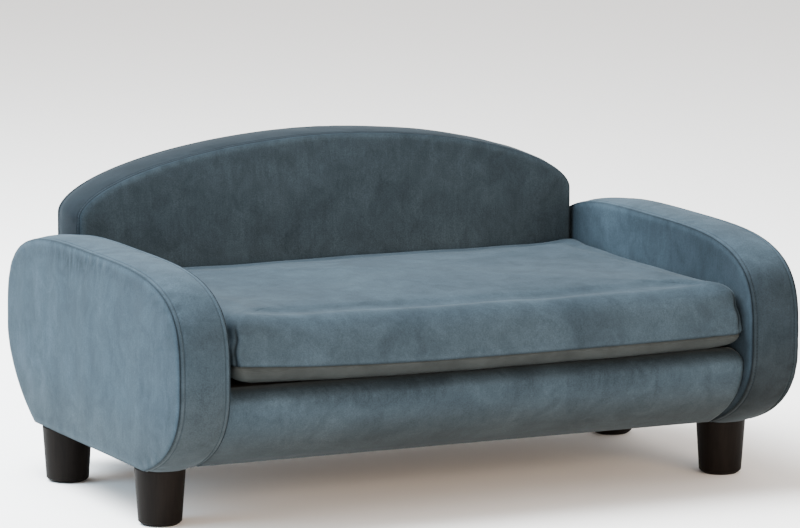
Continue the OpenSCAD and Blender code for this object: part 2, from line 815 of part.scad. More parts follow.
function cushion_under_loops(inset) = let (
        drop = cushion_seam_h - inset,
        roll = cushion_under_roll - inset
    ) [for (angle = cushion_under_angles) let (p = squared(roll, drop, cushion_under_power, angle))
        cushion_loop(inset + roll - p.x, cushion_seam_h - p.y, 0)];

function cushion_under_tip(inset) = let (c = middle(cushion_loop(cushion_under_roll, 0, 0)))
    [c.x, c.y, cushion_z + inset];

module cushion_top_cover() {
    domed(
        concat(reversed(cushion_top_loops(0)), cushion_top_loops(cover_t)),
        cushion_top_tip(0),
        cushion_top_tip(cover_t)
    );
}

module cushion_underside_cover() {
    domed(
        concat(reversed(cushion_under_loops(cover_t)), cushion_under_loops(0)),
        cushion_under_tip(cover_t),
        cushion_under_tip(0)
    );
}

module cushion_core() {
    domed(
        concat(reversed(cushion_top_loops(fill_inset)), [for (i = [1:len(cushion_under_angles) - 1])
            cushion_under_loops(fill_inset)[i]]),
        cushion_top_tip(fill_inset),
        cushion_under_tip(fill_inset)
    );
}

// Zip along the cushion's rear seam

zip_half = cushion_half_w * 0.7;
zip_z = cushion_z + cushion_seam_h;
zip_y = cushion_rear_y + play;
zip_tape_t = 0.6;
zip_tape_w = 9;
zip_tape_gap = 1;
zip_chain_w = 5;
zip_chain_t = 1.6;
zip_stop_l = 3;
zip_stop_t = 2;
zip_slider_l = 10;
zip_slider_w = 9;
zip_slider_t = 3.4;
zip_play = 0.25;
zip_lug_r = 2;
zip_lug_w = 2.4;
zip_pin_r = 0.7;
zip_pull_l = 20;
zip_pull_w = 7;
zip_pull_t = 1.2;
zip_chain_y = zip_y + zip_tape_t;
zip_slider_x = zip_half - zip_stop_l - zip_slider_l / 2 - zip_play;
zip_slider_top_y = zip_chain_y + zip_play + zip_slider_t;
zip_pin_y = zip_slider_top_y + zip_lug_r / 2;

module zip_tapes() {
    for (side = [0, 1])
        translate([-zip_half - zip_tape_w, zip_y, zip_z + (side == 0 ? zip_tape_gap / 2 : -zip_tape_gap / 2 - zip_tape_w)])
            cube([2 * (zip_half + zip_tape_w), zip_tape_t, zip_tape_w]);
}

module zip_chain() {
    translate([zip_stop_l - zip_half, zip_chain_y, zip_z - zip_chain_w / 2])
        cube([2 * (zip_half - zip_stop_l), zip_chain_t, zip_chain_w]);
}

module zip_end_stops() {
    for (x = [-zip_half, zip_half - zip_stop_l])
        translate([x, zip_chain_y, zip_z - zip_chain_w / 2])
            cube([zip_stop_l, zip_stop_t, zip_chain_w]);
}

// Slider that straddles the chain and carries a lug for its pull
module zip_slider() {
    channel_w = zip_chain_w + 2 * zip_play;
    channel_d = zip_chain_t + zip_play;
    translate([zip_slider_x, zip_chain_y + zip_play, zip_z])
        difference() {
            union() {
                translate([-zip_slider_l / 2, 0, -zip_slider_w / 2])
                    cube([zip_slider_l, zip_slider_t, zip_slider_w]);
                translate([0, zip_slider_t + zip_lug_r / 2, -zip_lug_w / 2])
                    cylinder(r = zip_lug_r, h = zip_lug_w);
            }
            translate([-zip_slider_l, -overrun, -channel_w / 2])
                cube([2 * zip_slider_l, channel_d + overrun, channel_w]);
            translate([0, zip_slider_t + zip_lug_r / 2, -zip_lug_w])
                cylinder(r = zip_pin_r + zip_play, h = 2 * zip_lug_w);
        }
}

// Pull with a fork and a pin through the slider's lug, lying along the chain
module zip_pull() {
    fork_gap = zip_lug_w + 2 * zip_play;
    fork_r = zip_pull_t;
    eye = zip_lug_r + zip_play;
    translate([zip_slider_x, zip_pin_y, zip_z]) {
        translate([0, 0, -zip_pull_w / 2])
            cylinder(r = zip_pin_r, h = zip_pull_w);
        difference() {
            translate([-zip_pull_l, -fork_r / 2, -zip_pull_w / 2])
                cube([zip_pull_l + fork_r, fork_r, zip_pull_w]);
            translate([-eye - zip_play, -fork_r, -fork_gap / 2])
                cube([zip_pull_l, 2 * fork_r, fork_gap]);
        }
    }
}

velvet = [0.18, 0.27, 0.33];
lining = [0.30, 0.31, 0.30];
cloth = [0.12, 0.12, 0.13];
foam = [0.85, 0.83, 0.74];
plywood = [0.76, 0.62, 0.44];
pine = [0.80, 0.66, 0.46];
board = [0.66, 0.56, 0.42];
stain = [0.06, 0.05, 0.05];
steel = [0.68, 0.69, 0.70];
pad = [0.10, 0.10, 0.10];
tape = [0.16, 0.20, 0.24];

color(velvet) at_left_arm() arm_outer_panel();  // left_arm_outer_panel
color(velvet) at_left_arm() arm_band();  // left_arm_band
color(velvet) at_left_arm() arm_inner_panel();  // left_arm_inner_panel
color(cloth) at_left_arm() arm_underside();  // left_arm_underside
color(foam) at_left_arm() arm_foam();  // left_arm_foam
color(board) at_left_arm() arm_edge_strip();  // left_arm_edge_strip
color(plywood) at_left_arm() arm_outer_board();  // left_arm_outer_board
color(plywood) at_left_arm() arm_inner_board();  // left_arm_inner_board
color(pine) at_left_arm() arm_spacers();  // left_arm_spacers
color(velvet) at_right_arm() arm_outer_panel();  // right_arm_outer_panel
color(velvet) at_right_arm() arm_band();  // right_arm_band
color(velvet) at_right_arm() arm_inner_panel();  // right_arm_inner_panel
color(cloth) at_right_arm() arm_underside();  // right_arm_underside
color(foam) at_right_arm() arm_foam();  // right_arm_foam
color(board) at_right_arm() arm_edge_strip();  // right_arm_edge_strip
color(plywood) at_right_arm() arm_outer_board();  // right_arm_outer_board
color(plywood) at_right_arm() arm_inner_board();  // right_arm_inner_board
color(pine) at_right_arm() arm_spacers();  // right_arm_spacers
color(velvet) at_back() back_front_panel();
color(velvet) at_back() back_band();
color(velvet) at_back() back_rear_panel();
color(cloth) at_back() back_underside();
color(foam) at_back() back_foam();
color(board) at_back() back_edge_strip();
color(plywood) at_back() back_front_board();
color(plywood) at_back() back_rear_board();
color(pine) at_back() back_spacers();
color(velvet) base_front_cover();
color(foam) base_front_roll();
color(cloth) base_deck_cloth();
color(foam) base_deck_pad();
color(plywood) base_deck();
color(pine) base_front_rail();
color(pine) base_rear_rail();
color(pine) base_left_rail();
color(pine) base_right_rail();
color(pine) base_cross_rails();
color(cloth) base_dust_cover();
color(stain) front_left_leg();
color(stain) front_right_leg();
color(stain) rear_left_leg();
color(stain) rear_right_leg();
color(pad) leg_pads();
color(steel) leg_hanger_bolts();
color(steel) frame_bolts();
color(steel) tee_nuts();
color(velvet) cushion_top_cover();
color(lining) cushion_underside_cover();
color(foam) cushion_core();
color(tape) zip_tapes();
color(tape) zip_chain();
color(steel) zip_end_stops();
color(steel) zip_slider();
color(steel) zip_pull();
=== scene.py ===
"""Dog sofa bed: velvet arms, back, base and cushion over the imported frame. Metres."""
import json
import math

import bpy
import numpy as np
from mathutils import Matrix, Vector
from mathutils.kdtree import KDTree


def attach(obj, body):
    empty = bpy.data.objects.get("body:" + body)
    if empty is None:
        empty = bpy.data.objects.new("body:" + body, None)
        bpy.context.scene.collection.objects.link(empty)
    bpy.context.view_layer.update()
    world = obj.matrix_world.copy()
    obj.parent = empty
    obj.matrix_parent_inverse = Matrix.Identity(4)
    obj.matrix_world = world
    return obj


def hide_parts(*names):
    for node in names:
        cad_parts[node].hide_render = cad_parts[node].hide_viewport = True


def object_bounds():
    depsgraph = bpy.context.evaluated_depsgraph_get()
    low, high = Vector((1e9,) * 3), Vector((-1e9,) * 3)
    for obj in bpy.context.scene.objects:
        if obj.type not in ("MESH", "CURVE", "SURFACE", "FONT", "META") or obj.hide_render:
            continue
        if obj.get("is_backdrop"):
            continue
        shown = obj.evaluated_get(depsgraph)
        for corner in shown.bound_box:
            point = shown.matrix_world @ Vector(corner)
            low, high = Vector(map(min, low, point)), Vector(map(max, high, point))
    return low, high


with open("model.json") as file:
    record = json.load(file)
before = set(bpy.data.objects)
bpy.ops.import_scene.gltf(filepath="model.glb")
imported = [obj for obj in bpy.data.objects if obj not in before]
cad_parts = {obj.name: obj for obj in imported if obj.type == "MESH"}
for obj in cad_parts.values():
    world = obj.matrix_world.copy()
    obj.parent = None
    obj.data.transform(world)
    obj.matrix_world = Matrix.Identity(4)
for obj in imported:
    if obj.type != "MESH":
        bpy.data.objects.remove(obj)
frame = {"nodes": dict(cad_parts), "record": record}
cad_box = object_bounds()
nodes = frame["nodes"]

# Sizes shared with the construction model, in metres

SEAT_W, SOFA_D = 0.700, 0.552
ARM_T, ARM_H, ARM_WAIST = 0.063, 0.242, 0.109
ARM_TOP_P, ARM_FRONT_P, ARM_REAR_P = 3.7, 2.3, 1.75
ARM_FRONT_CUT, ARM_REAR_CUT = 0.855, 0.671
LEG_H = 0.071
BAND_CROWN = 0.003
BACK_T, BACK_H, BACK_RISE, BACK_P, BACK_STAND = 0.072, 0.339, 0.089, 1.84, 0.008
BASE_H, BASE_LIFT, BASE_SET = 0.102, 0.001, 0.020
NOSE_H, NOSE_D, BASE_P, BASE_CUT = 0.014, 0.032, 2.0, 0.753
ROLL_W, ROLL_H, CROWN = 0.010, 0.003, 0.003
IN_ROLL_H, IN_CROWN = 0.002, 0.0015
INNER_RISE, OUTER_RISE = IN_ROLL_H + IN_CROWN, ROLL_H + CROWN
PLAY = 0.0003

ARM_TOP_Z = LEG_H + ARM_H
BASE_Z = LEG_H + BASE_LIFT
BASE_TOP = BASE_Z + BASE_H
BASE_W = SEAT_W - 2 * (INNER_RISE + PLAY)
BASE_FRONT = BASE_SET - SOFA_D / 2
BACK_REAR = SOFA_D / 2 + BACK_STAND - OUTER_RISE
BACK_FRONT = BACK_REAR - BACK_T
BACK_HALF = SEAT_W / 2 - INNER_RISE - PLAY - BAND_CROWN

# Camera at the photograph's place, fitted to the outlines seen in it

SENSOR, FOCAL_PX, PHOTO_PX = 36, 5500, 800
yaw, pitch, roll = 0.446559, 0.158367, 0.003261
forward = Vector((math.sin(yaw) * math.cos(pitch), math.cos(yaw) * math.cos(pitch), -math.sin(pitch)))
level = Vector((math.cos(yaw), -math.sin(yaw), 0))
up = level.cross(forward)
right = level * math.cos(roll) + up * math.sin(roll)
up = up * math.cos(roll) - level * math.sin(roll)
camera = bpy.data.objects.new("camera", bpy.data.cameras.new("camera"))
camera.data.sensor_width = SENSOR
camera.data.lens = FOCAL_PX / PHOTO_PX * SENSOR
camera.data.clip_end = 60
spot = Vector((-2.90754, -6.07384, 1.34483))
camera.matrix_world = Matrix(((right.x, up.x, -forward.x, spot.x),
                              (right.y, up.y, -forward.y, spot.y),
                              (right.z, up.z, -forward.z, spot.z),
                              (0, 0, 0, 1)))
bpy.context.scene.collection.objects.link(camera)
bpy.context.scene.camera = camera


# Outlines: arcs of the arms and the back in their own plane, from the front or left foot over the top

ARC_POINTS = 1600


def squared(a, b, power, angle):
    """Point of a squared ellipse with half axes a and b, at an angle in degrees."""
    angle = np.radians(angle)
    return a * np.cos(angle) ** (2 / power), b * np.clip(np.sin(angle), 0, 1) ** (2 / power)


def cut_angle(share, power):
    """Angle in degrees at which a squared ellipse reaches this share of its half height."""
    return math.degrees(math.asin(share ** (power / 2)))


def resampled(line, count):
    """count points at even spacing along a polyline."""
    length = np.concatenate([[0], np.cumsum(np.linalg.norm(np.diff(line, axis=0), axis=1))])
    at = np.linspace(0, length[-1], count)
    return np.stack([np.interp(at, length, line[:, k]) for k in range(line.shape[1])], 1)


def length_of(line):
    return float(np.linalg.norm(np.diff(line, axis=0), axis=1).sum())


def normals_of(line):
    """Outward unit normals of a line that runs clockwise, up the left side and over the top."""
    t = np.gradient(line, axis=0)
    t /= np.linalg.norm(t, axis=1)[:, None]
    return np.stack([-t[:, 1], t[:, 0]], 1)


def arm_arc():
    half, waist = SOFA_D / 2 - BAND_CROWN, LEG_H + ARM_WAIST
    turn = np.linspace(0, 1, 500)
    start, end = cut_angle(ARM_FRONT_CUT, ARM_FRONT_P), cut_angle(ARM_REAR_CUT, ARM_REAR_P)
    x, z = squared(half, ARM_WAIST / ARM_FRONT_CUT, ARM_FRONT_P, start * (1 - turn))
    front = np.stack([-x, waist - z], 1)
    x, z = squared(half, ARM_H - ARM_WAIST - BAND_CROWN, ARM_TOP_P, 90 * turn)
    up_front = np.stack([-x, waist + z], 1)
    x, z = squared(half, ARM_WAIST / ARM_REAR_CUT, ARM_REAR_P, end * turn)
    rear = np.stack([x, waist - z], 1)
    down = up_front[::-1] * [-1, 1]
    return resampled(np.concatenate([front, up_front[1:], down[1:], rear[1:]]), ARC_POINTS)


def back_arc():
    x, z = squared(BACK_HALF, BACK_RISE, BACK_P, np.linspace(0, 90, 900))
    left = np.stack([-x, LEG_H + BACK_H - BAND_CROWN - BACK_RISE + z], 1)
    feet = [[-BACK_HALF, BASE_Z]], [[BACK_HALF, BASE_Z]]
    return resampled(np.concatenate([feet[0], left, left[-2::-1] * [-1, 1], feet[1]]), ARC_POINTS)


def clipped(line, z):
    """The stretch of an arc above height z, its two ends exactly on it."""
    keep = np.where(line[:, 1] > z)[0]
    first, last = keep[0], keep[-1]
    ends = []
    for i, way in ((first, -1), (last, 1)):
        p = line[i]
        q = line[i + way] if 0 <= i + way < len(line) else p + (p - line[i - way])
        fall = q[1] - p[1] or 1e-9
        ends.append(p + (q - p) * (z - p[1]) / fall)
    return np.concatenate([[ends[0]], line[first:last + 1], [ends[1]]])


def inset_outline(arc, foot_z, d, count, foot_count):
    """Closed outline at distance d inside an arc that stands on foot_z, with count points on the arc."""
    line = resampled(clipped(arc - normals_of(arc) * d, foot_z + d), count)
    foot = line[-1] + (line[0] - line[-1]) * (np.arange(1, foot_count)[:, None] / foot_count)
    return np.concatenate([line, foot])


# Smooth made-up unevenness, the same on every run

def waves(p, size, seed, count=9):
    """Sum of sines over points p, about -1 to 1, with features of the given size."""
    rng = np.random.RandomState(seed)
    out = np.zeros(len(p))
    for _ in range(count):
        d = rng.normal(size=p.shape[1])
        d *= (0.6 + 0.8 * rng.rand()) * math.pi / size / np.linalg.norm(d)
        out += np.sin(p @ d + rng.rand() * 2 * math.pi)
    return out / math.sqrt(count)


def puckers(s, size, seed):
    """Short uneven gathers along a seam at arc length s, 0 to 1."""
    p = s[:, None]
    each = np.clip(0.42 + 0.5 * waves(p, size, seed, 9), 0, 1)
    groups = np.clip(0.35 + 0.75 * waves(p, size * 7, seed + 1, 5), 0, 1)
    return each * groups


def step(x, a, b):
    """0 at a, 1 at b, smooth between."""
    t = np.clip((x - a) / (b - a), 0, 1)
    return t * t * (3 - 2 * t)


def hump(x, at, width):
    """1 where x is at, smoothly down to 0 on both sides."""
    return np.exp(-((x - at) / width) ** 2)


# Meshes

# The darkest mark allowed: below -1 the velvet's colour would turn negative
DARKEST = -0.75


def new_object(name, verts, faces):
    mesh = bpy.data.meshes.new(name)
    mesh.from_pydata([tuple(map(float, v)) for v in verts], [], [tuple(map(int, f)) for f in faces])
    mesh.update()
    mesh.shade_smooth()
    o = bpy.data.objects.new(name, mesh)
    bpy.context.scene.collection.objects.link(o)
    return o


def marked(o, **values):
    """Attributes that the velvet reads: painted shade lightens or darkens it (painted shade in seams, creases and on
    whole pieces, painted highlights on rolled edges, a few pile marks), brush draws dark strokes, and the low painted
    shade takes blue out low down, standing in for warm bounce light.
    """
    for name, value in values.items():
        value = np.maximum(value, DARKEST).astype(np.float32)
        o.data.attributes.new(name, "FLOAT", "POINT").data.foreach_set("value", value)
    return o


def grid_faces(rows, cols, closed=False):
    """Quads between neighbouring rows; closed joins the last column to the first."""
    r = np.arange(rows - 1)[:, None] * cols
    c = np.arange(cols if closed else cols - 1)[None, :]
    n = (c + 1) % cols
    return np.stack([r + c, r + n, r + cols + n, r + cols + c], -1).reshape(-1, 4)


def capsules(name, a, b, radius):
    """One mesh of short round bars from points a to points b, their ends drawn in."""
    sides = 6
    profile = (0, 0.35), (0.12, 0.85), (0.5, 1), (0.88, 0.85), (1, 0.35)
    ring = np.linspace(0, 2 * math.pi, sides, endpoint=False)
    t = b - a
    length = np.linalg.norm(t, axis=1)
    t = t / length[:, None]
    other = np.where(np.abs(t[:, 2:3]) < 0.8, [[0, 0, 1.0]], [[1.0, 0, 0]])
    u = np.cross(t, other)
    u /= np.linalg.norm(u, axis=1)[:, None]
    v = np.cross(t, u)
    rows = []
    for share, r in profile:
        centre = a + t * (length * share)[:, None]
        for k in ring:
            rows.append(centre + radius * r * (math.cos(k) * u + math.sin(k) * v))
    verts = np.stack(rows, 1).reshape(-1, 3)
    per = len(profile) * sides
    quads = grid_faces(len(profile), sides, True)
    faces = [tuple(f + i * per) for i in range(len(a)) for f in quads]
    for start in range(0, len(a) * per, per):
        faces.append(tuple(range(start + sides - 1, start - 1, -1)))
        faces.append(tuple(range(start + per - sides, start + per)))
    return new_object(name, verts, faces)


def stitches_on(name, path, pitch, share, radius):
    """Stitches along a dense path of points, each share of the pitch long."""
    total = length_of(path)
    count = int(total / pitch)
    length = np.concatenate([[0], np.cumsum(np.linalg.norm(np.diff(path, axis=0), axis=1))])
    start = (np.arange(count) + 0.5 * (1 - share)) * pitch + (total - count * pitch) / 2

    def at(s):
        return np.stack([np.interp(s, length, path[:, k]) for k in range(3)], 1)

    return capsules(name, at(start), at(start + pitch * share), radius)


# Materials

def material(name, build):
    m = bpy.data.materials.new(name)
    m.use_nodes = True
    build(m.node_tree, m.node_tree.nodes["Principled BSDF"])
    return m


def add(tree, kind, **values):
    n = tree.nodes.new(kind)
    for key, value in values.items():
        if key in n.inputs:
            n.inputs[key].default_value = value
        else:
            setattr(n, key, value)
    return n


def placed(tree, texture, stretch=(1, 1, 1)):
    """Lays a texture in the object's own coordinates."""
    m = add(tree, "ShaderNodeMapping", Scale=stretch)
    tree.links.new(add(tree, "ShaderNodeTexCoord").outputs["Object"], m.inputs["Vector"])
    tree.links.new(m.outputs["Vector"], texture.inputs["Vector"])
    return texture


def noise(tree, scale, detail, rough, distortion=0.0, stretch=(1, 1, 1)):
    n = add(tree, "ShaderNodeTexNoise", Scale=scale, Detail=detail, Roughness=rough, Distortion=distortion)
    return placed(tree, n, stretch).outputs["Fac"]


def attribute(tree, name):
    return add(tree, "ShaderNodeAttribute", attribute_name=name).outputs["Fac"]


def plug(tree, socket, value):
    """Sets a socket to a number or a colour, or links an output to it."""
    if isinstance(value, (int, float)):
        socket.default_value = value
    elif isinstance(value, tuple):
        socket.default_value = (*value, 1)
    else:
        tree.links.new(value, socket)


def ramp(tree, fac, stops):
    r = add(tree, "ShaderNodeValToRGB")
    while len(r.color_ramp.elements) < len(stops):
        r.color_ramp.elements.new(0.5)
    for e, (at, colour) in zip(r.color_ramp.elements, stops):
        e.position = at
        e.color = (*colour, 1)
    tree.links.new(fac, r.inputs["Fac"])
    return r.outputs["Color"]


def mix(tree, a, b, fac, blend="MIX"):
    m = add(tree, "ShaderNodeMix", data_type="RGBA", blend_type=blend)
    for index, value in ((0, fac), (6, a), (7, b)):
        plug(tree, m.inputs[index], value)
    return m.outputs[2]


def bumped(tree, shader, heights):
    """Bump from a list of (height output, strength, distance)."""
    last = None
    for height, strength, distance in heights:
        b = add(tree, "ShaderNodeBump", Strength=strength, Distance=distance)
        tree.links.new(height, b.inputs["Height"])
        if last:
            tree.links.new(last, b.inputs["Normal"])
        last = b.outputs["Normal"]
    tree.links.new(last, shader.inputs["Normal"])


def ranged(tree, fac, a, b, low, high):
    """Maps fac from a…b to low…high, and holds it there outside."""
    m = add(tree, "ShaderNodeMapRange")
    for key, value in (("From Min", a), ("From Max", b), ("To Min", low), ("To Max", high)):
        m.inputs[key].default_value = value
    tree.links.new(fac, m.inputs["Value"])
    return m.outputs["Result"]


def times_plus(tree, a, times, more):
    m = add(tree, "ShaderNodeMath", operation="MULTIPLY_ADD")
    for index, value in enumerate((a, times, more)):
        plug(tree, m.inputs[index], value)
    return m.outputs[0]


def dress(shader, values):
    for key, value in values.items():
        shader.inputs[key].default_value = value


def velvet(dark, mid, light):
    """Short pile: broad patches, brushed marks, upright lines, a fine speckle, and the painted shade and highlights
    that the mesh's attributes carry.
    """
    def build(tree, shader):
        marks = noise(tree, 34, 5, 0.65, 1.0, (1, 1, 0.8))
        lines = noise(tree, 380, 2, 0.5, 0.0, (1, 1, 0.08))
        pile = noise(tree, 640, 4, 0.75)
        tone = ramp(tree, noise(tree, 7, 3, 0.55, 0.6), [(0.32, dark), (0.50, mid), (0.70, light)])
        for fac, spread in ((marks, 0.16), (lines, 0.05), (pile, 0.24)):
            tone = mix(tree, tone, ranged(tree, fac, 0.33, 0.67, 1 - spread, 1 + spread), 1.0, "MULTIPLY")
        strokes = ranged(tree, noise(tree, 150, 4, 0.6, 0.6, (1, 1, 0.18)), 0.40, 0.62, -0.45, 0.03)
        shade = times_plus(tree, attribute(tree, "brush"), strokes, 1.0)
        # Painted shade and highlights from the mesh, with a few pile marks, scale the colour
        shade = times_plus(tree, attribute(tree, "nap"), 1.0, shade)
        # Painted warm bounce light and shade: low parts made warmer and greyer
        tone = mix(tree, tone, (1.16, 0.95, 0.80), attribute(tree, "grey"), "MULTIPLY")
        tree.links.new(mix(tree, tone, shade, 1.0, "MULTIPLY"), shader.inputs["Base Color"])
        dress(shader, {"Roughness": 0.85, "Specular IOR Level": 0.05, "Sheen Weight": 0.09, "Sheen Roughness": 0.32,
                       "Sheen Tint": (0.55, 0.68, 0.78, 1)})
        bumped(tree, shader, [(pile, 0.22, 0.0003), (noise(tree, 260, 3, 0.6), 0.16, 0.0005), (marks, 0.10, 0.0015)])
    return build


def cloth(colour, scale, rough, spread=0.25):
    """Plain weave."""
    def build(tree, shader):
        weave, cross = (placed(tree, add(tree, "ShaderNodeTexWave", wave_type="BANDS", bands_direction=way,
                                         Scale=scale / 4, Distortion=0.6)).outputs["Color"] for way in "XY")
        both = mix(tree, weave, cross, 0.5)
        lo = tuple(c * (1 - spread) for c in colour)
        hi = tuple(min(1, c * (1 + spread)) for c in colour)
        tone = ramp(tree, noise(tree, 30, 4, 0.6), [(0.35, lo), (0.65, hi)])
        tree.links.new(mix(tree, tone, both, 0.18, "OVERLAY"), shader.inputs["Base Color"])
        dress(shader, {"Roughness": rough, "Specular IOR Level": 0.1})
        bumped(tree, shader, [(both, 0.3, 0.0003), (noise(tree, 60, 3, 0.5), 0.15, 0.001)])
    return build


def timber(dark, light, rough=0.6, along=(1, 12, 12), gloss=0.4):
    """Wood or board; along squeezes the grain across its run."""
    def build(tree, shader):
        grain = noise(tree, 14, 5, 0.65, 1.2, along)
        fine = noise(tree, 90, 3, 0.6, 0.3, along)
        tone = ramp(tree, grain, [(0.3, dark), (0.68, light)])
        pores = ramp(tree, fine, [(0.35, (0.8,) * 3), (0.65, (1.08,) * 3)])
        tree.links.new(mix(tree, tone, pores, 0.6, "MULTIPLY"), shader.inputs["Base Color"])
        dress(shader, {"Roughness": rough, "Specular IOR Level": gloss})
        bumped(tree, shader, [(fine, 0.12, 0.0004)])
    return build


def metal(colour, rough):
    def build(tree, shader):
        dull = tuple(c * 0.85 for c in colour)
        tree.links.new(ramp(tree, noise(tree, 300, 3, 0.6), [(0.3, dull), (0.7, colour)]), shader.inputs["Base Color"])
        dress(shader, {"Metallic": 1.0, "Roughness": rough})
        bumped(tree, shader, [(noise(tree, 700, 2, 0.5), 0.05, 0.0002)])
    return build


def porous(colour):
    def build(tree, shader):
        cells = placed(tree, add(tree, "ShaderNodeTexVoronoi", Scale=420.0)).outputs["Distance"]
        deep = tuple(c * 0.7 for c in colour)
        tree.links.new(ramp(tree, cells, [(0.1, deep), (0.5, colour)]), shader.inputs["Base Color"])
        dress(shader, {"Roughness": 0.95})
        bumped(tree, shader, [(cells, 0.4, 0.0008)])
    return build


DARK, MID, LIGHT = (0.0205, 0.0315, 0.0410), (0.0240, 0.0366, 0.0474), (0.0276, 0.0418, 0.0538)
MATERIALS = {name: material(name, build) for name, build in (
    ("velvet", velvet(DARK, MID, LIGHT)),
    ("cushion_velvet", velvet(DARK, MID, LIGHT)),
    ("cushion_lining", cloth((0.0205, 0.0240, 0.0240), 1600, 0.9, 0.15)),
    ("black_cloth", cloth((0.018, 0.018, 0.020), 900, 0.95)),
    ("foam", porous((0.72, 0.68, 0.56))),
    ("plywood", timber((0.42, 0.29, 0.17), (0.62, 0.47, 0.30))),
    ("fibreboard", timber((0.26, 0.19, 0.12), (0.36, 0.27, 0.18), 0.8, (3, 3, 3))),
    ("pine", timber((0.55, 0.38, 0.21), (0.74, 0.57, 0.36))),
    ("stained_wood", timber((0.0025, 0.0018, 0.0014), (0.0062, 0.0046, 0.0036), 0.6, (10, 10, 1), 0.06)),
    ("rubber_pad", cloth((0.02, 0.02, 0.02), 700, 0.85)),
    ("zip_tape", cloth((0.022, 0.034, 0.043), 2400, 0.85)),
    ("zip_coil", cloth((0.026, 0.038, 0.048), 2400, 0.45)),
    ("zip_metal", metal((0.36, 0.36, 0.37), 0.38)),
    ("steel", metal((0.60, 0.60, 0.62), 0.4)),
    ("thread", cloth((0.014, 0.023, 0.031), 5000, 0.8, 0.1)),
)}
for part in frame["record"]["subparts"]:
    slots = nodes[part["node"]].data.materials
    slots.clear()
    slots.append(MATERIALS[part["material_slot"]])


def piece(o, body, slot, *replaced):
    o.data.materials.append(MATERIALS[slot])
    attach(o, body)
    if replaced:
        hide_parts(*replaced)
    return o


# Sewn slabs: the arms and the back

SEAM_IN, SEAM_TURN = 0.0019, 0.0018
STITCH_IN, STITCH_GROOVE, STITCH_LIFT = 0.0055, 0.0008, 0.00015
# Pitch, share of it that shows, and radius of the thread or wire
SEAM_STITCH, ZIP_STITCH, STAPLE = (0.0042, 0.62, 0.00034), (0.0032, 0.7, 0.00030), (0.040, 0.25, 0.00035)
# The turned edge of a face beside its seam: how far inside the outline, how high above the seam
LIP = ((SEAM_IN, -0.0006), (0.0012, -0.0005), (0.0005, -0.0002), (0.0001, 0.0002), (0, 0.0006), (0.0003, 0.0010),
       (0.0009, 0.0014))
# Where the rows of points lie: on a face's rolled edge, and in from each edge of a band
FACE_ROWS = 0.0018, 0.0028, 0.0040, 0.0054, 0.0070, 0.0086, ROLL_W
BAND_ROWS = np.array([0, 0.0003, 0.0008, 0.0014, 0.0022, 0.0034, 0.0044, 0.0050, 0.0055, 0.0060, 0.0066, 0.0078,
                      0.0098])
# Heights below and above which the painted shade low on faces, bands and base front fades out: warmer, greyer and
# darker low down, as warm light thrown up from the floor
FACE_GREY, BAND_GREY, BASE_GREY = (0.09, 0.16), (0.09, 0.22), (0.09, 0.155)


def band_height(w, thickness):
    """How far the band stands out of its outline at w across it: a turned-in seam, a row of stitching, a low crown."""
    e = np.minimum(w, thickness - w)
    share = w / thickness
    crown = BAND_CROWN * (1 - (2 * share - 1) ** 2)
    turned = SEAM_IN * np.sqrt(np.clip(1 - (1 - np.clip(e / SEAM_TURN, 0, 1)) ** 2, 0, 1))
    groove = STITCH_GROOVE * hump(e, STITCH_IN, 0.0010)
    return turned - SEAM_IN + np.maximum(crown, 0.0009 * np.clip(e / 0.003, 0, 1)) - groove


def face_height(d, roll_h):
    """Height of a face's rolled edge at distance d inside its outline."""
    return roll_h * np.sqrt(np.clip(1 - (1 - np.clip(d / ROLL_W, 0, 1)) ** 2, 0, 1))


def slab_face(arc, foot_z, roll_h, crown, seed, count, foot_count, shade, brush):
    """One padded face: vertices (u, v, height above the seam), faces that run clockwise from outside, and marks."""
    k = roll_h / ROLL_H
    profile = [(d, h * k) for d, h in LIP] + [(d, face_height(d, roll_h)) for d in FACE_ROWS]
    rows, ds = [], []
    for d, h in profile:
        loop = inset_outline(arc, foot_z, d, count, foot_count)
        rows.append(np.column_stack([loop, np.full(len(loop), h)]))
        ds.append(d if h > 0 else 0)
    inner = inset_outline(arc, foot_z, ROLL_W, count, foot_count)
    c = (inner.min(0) + inner.max(0)) / 2
    for share in np.concatenate([np.linspace(0.985, 0.82, 12), np.linspace(0.79, 0.04, 22)]):
        loop = c + (inner - c) * share
        rows.append(np.column_stack([loop, np.full(len(loop), roll_h + crown * (1 - share ** 2))]))
        ds.append(ROLL_W + (1 - share) * 0.12)
    n = len(inner)
    v = np.concatenate(rows + [np.array([[c[0], c[1], roll_h + crown]])])
    d = np.append(np.repeat(ds, n), 0.13)
    along = np.tile(np.linspace(0, 1, n, endpoint=False) * length_of(inner), len(rows))
    uv = v[:, :2]
    soft = np.clip((d - 0.003) / 0.03, 0, 1)
    pull = np.append(puckers(along, 0.013, seed + 5), 0)
    v[:, 2] += soft * (0.00045 * waves(uv, 0.11, seed) + 0.00022 * waves(uv, 0.035, seed + 3))
    v[:, 2] -= 0.0008 * pull * hump(d, 0.007, 0.007)
    # Painted shade in the seam, on the puckers and in a strip just inside the roll, a painted highlight along the
    # rolled edge, and the piece's painted shade or light
    nap = -0.62 * np.exp(-d / 0.0011) + 0.13 * hump(d, 0.0045, 0.003)
    nap -= 0.11 * pull * hump(d, 0.009, 0.006) + 0.07 * hump(d, 0.014, 0.008)
    nap += shade(uv)
    # Painted shade low on the face, as warm light from the floor
    grey = 0.4 * (1 - step(v[:, 1], *FACE_GREY))
    faces = [tuple(f) for f in grid_faces(len(rows), n, True)]
    last = (len(rows) - 1) * n
    faces += [(last + i, last + (i + 1) % n, len(v) - 1) for i in range(n)]
    return v, faces, {"nap": nap, "brush": brush(uv, d), "grey": grey}


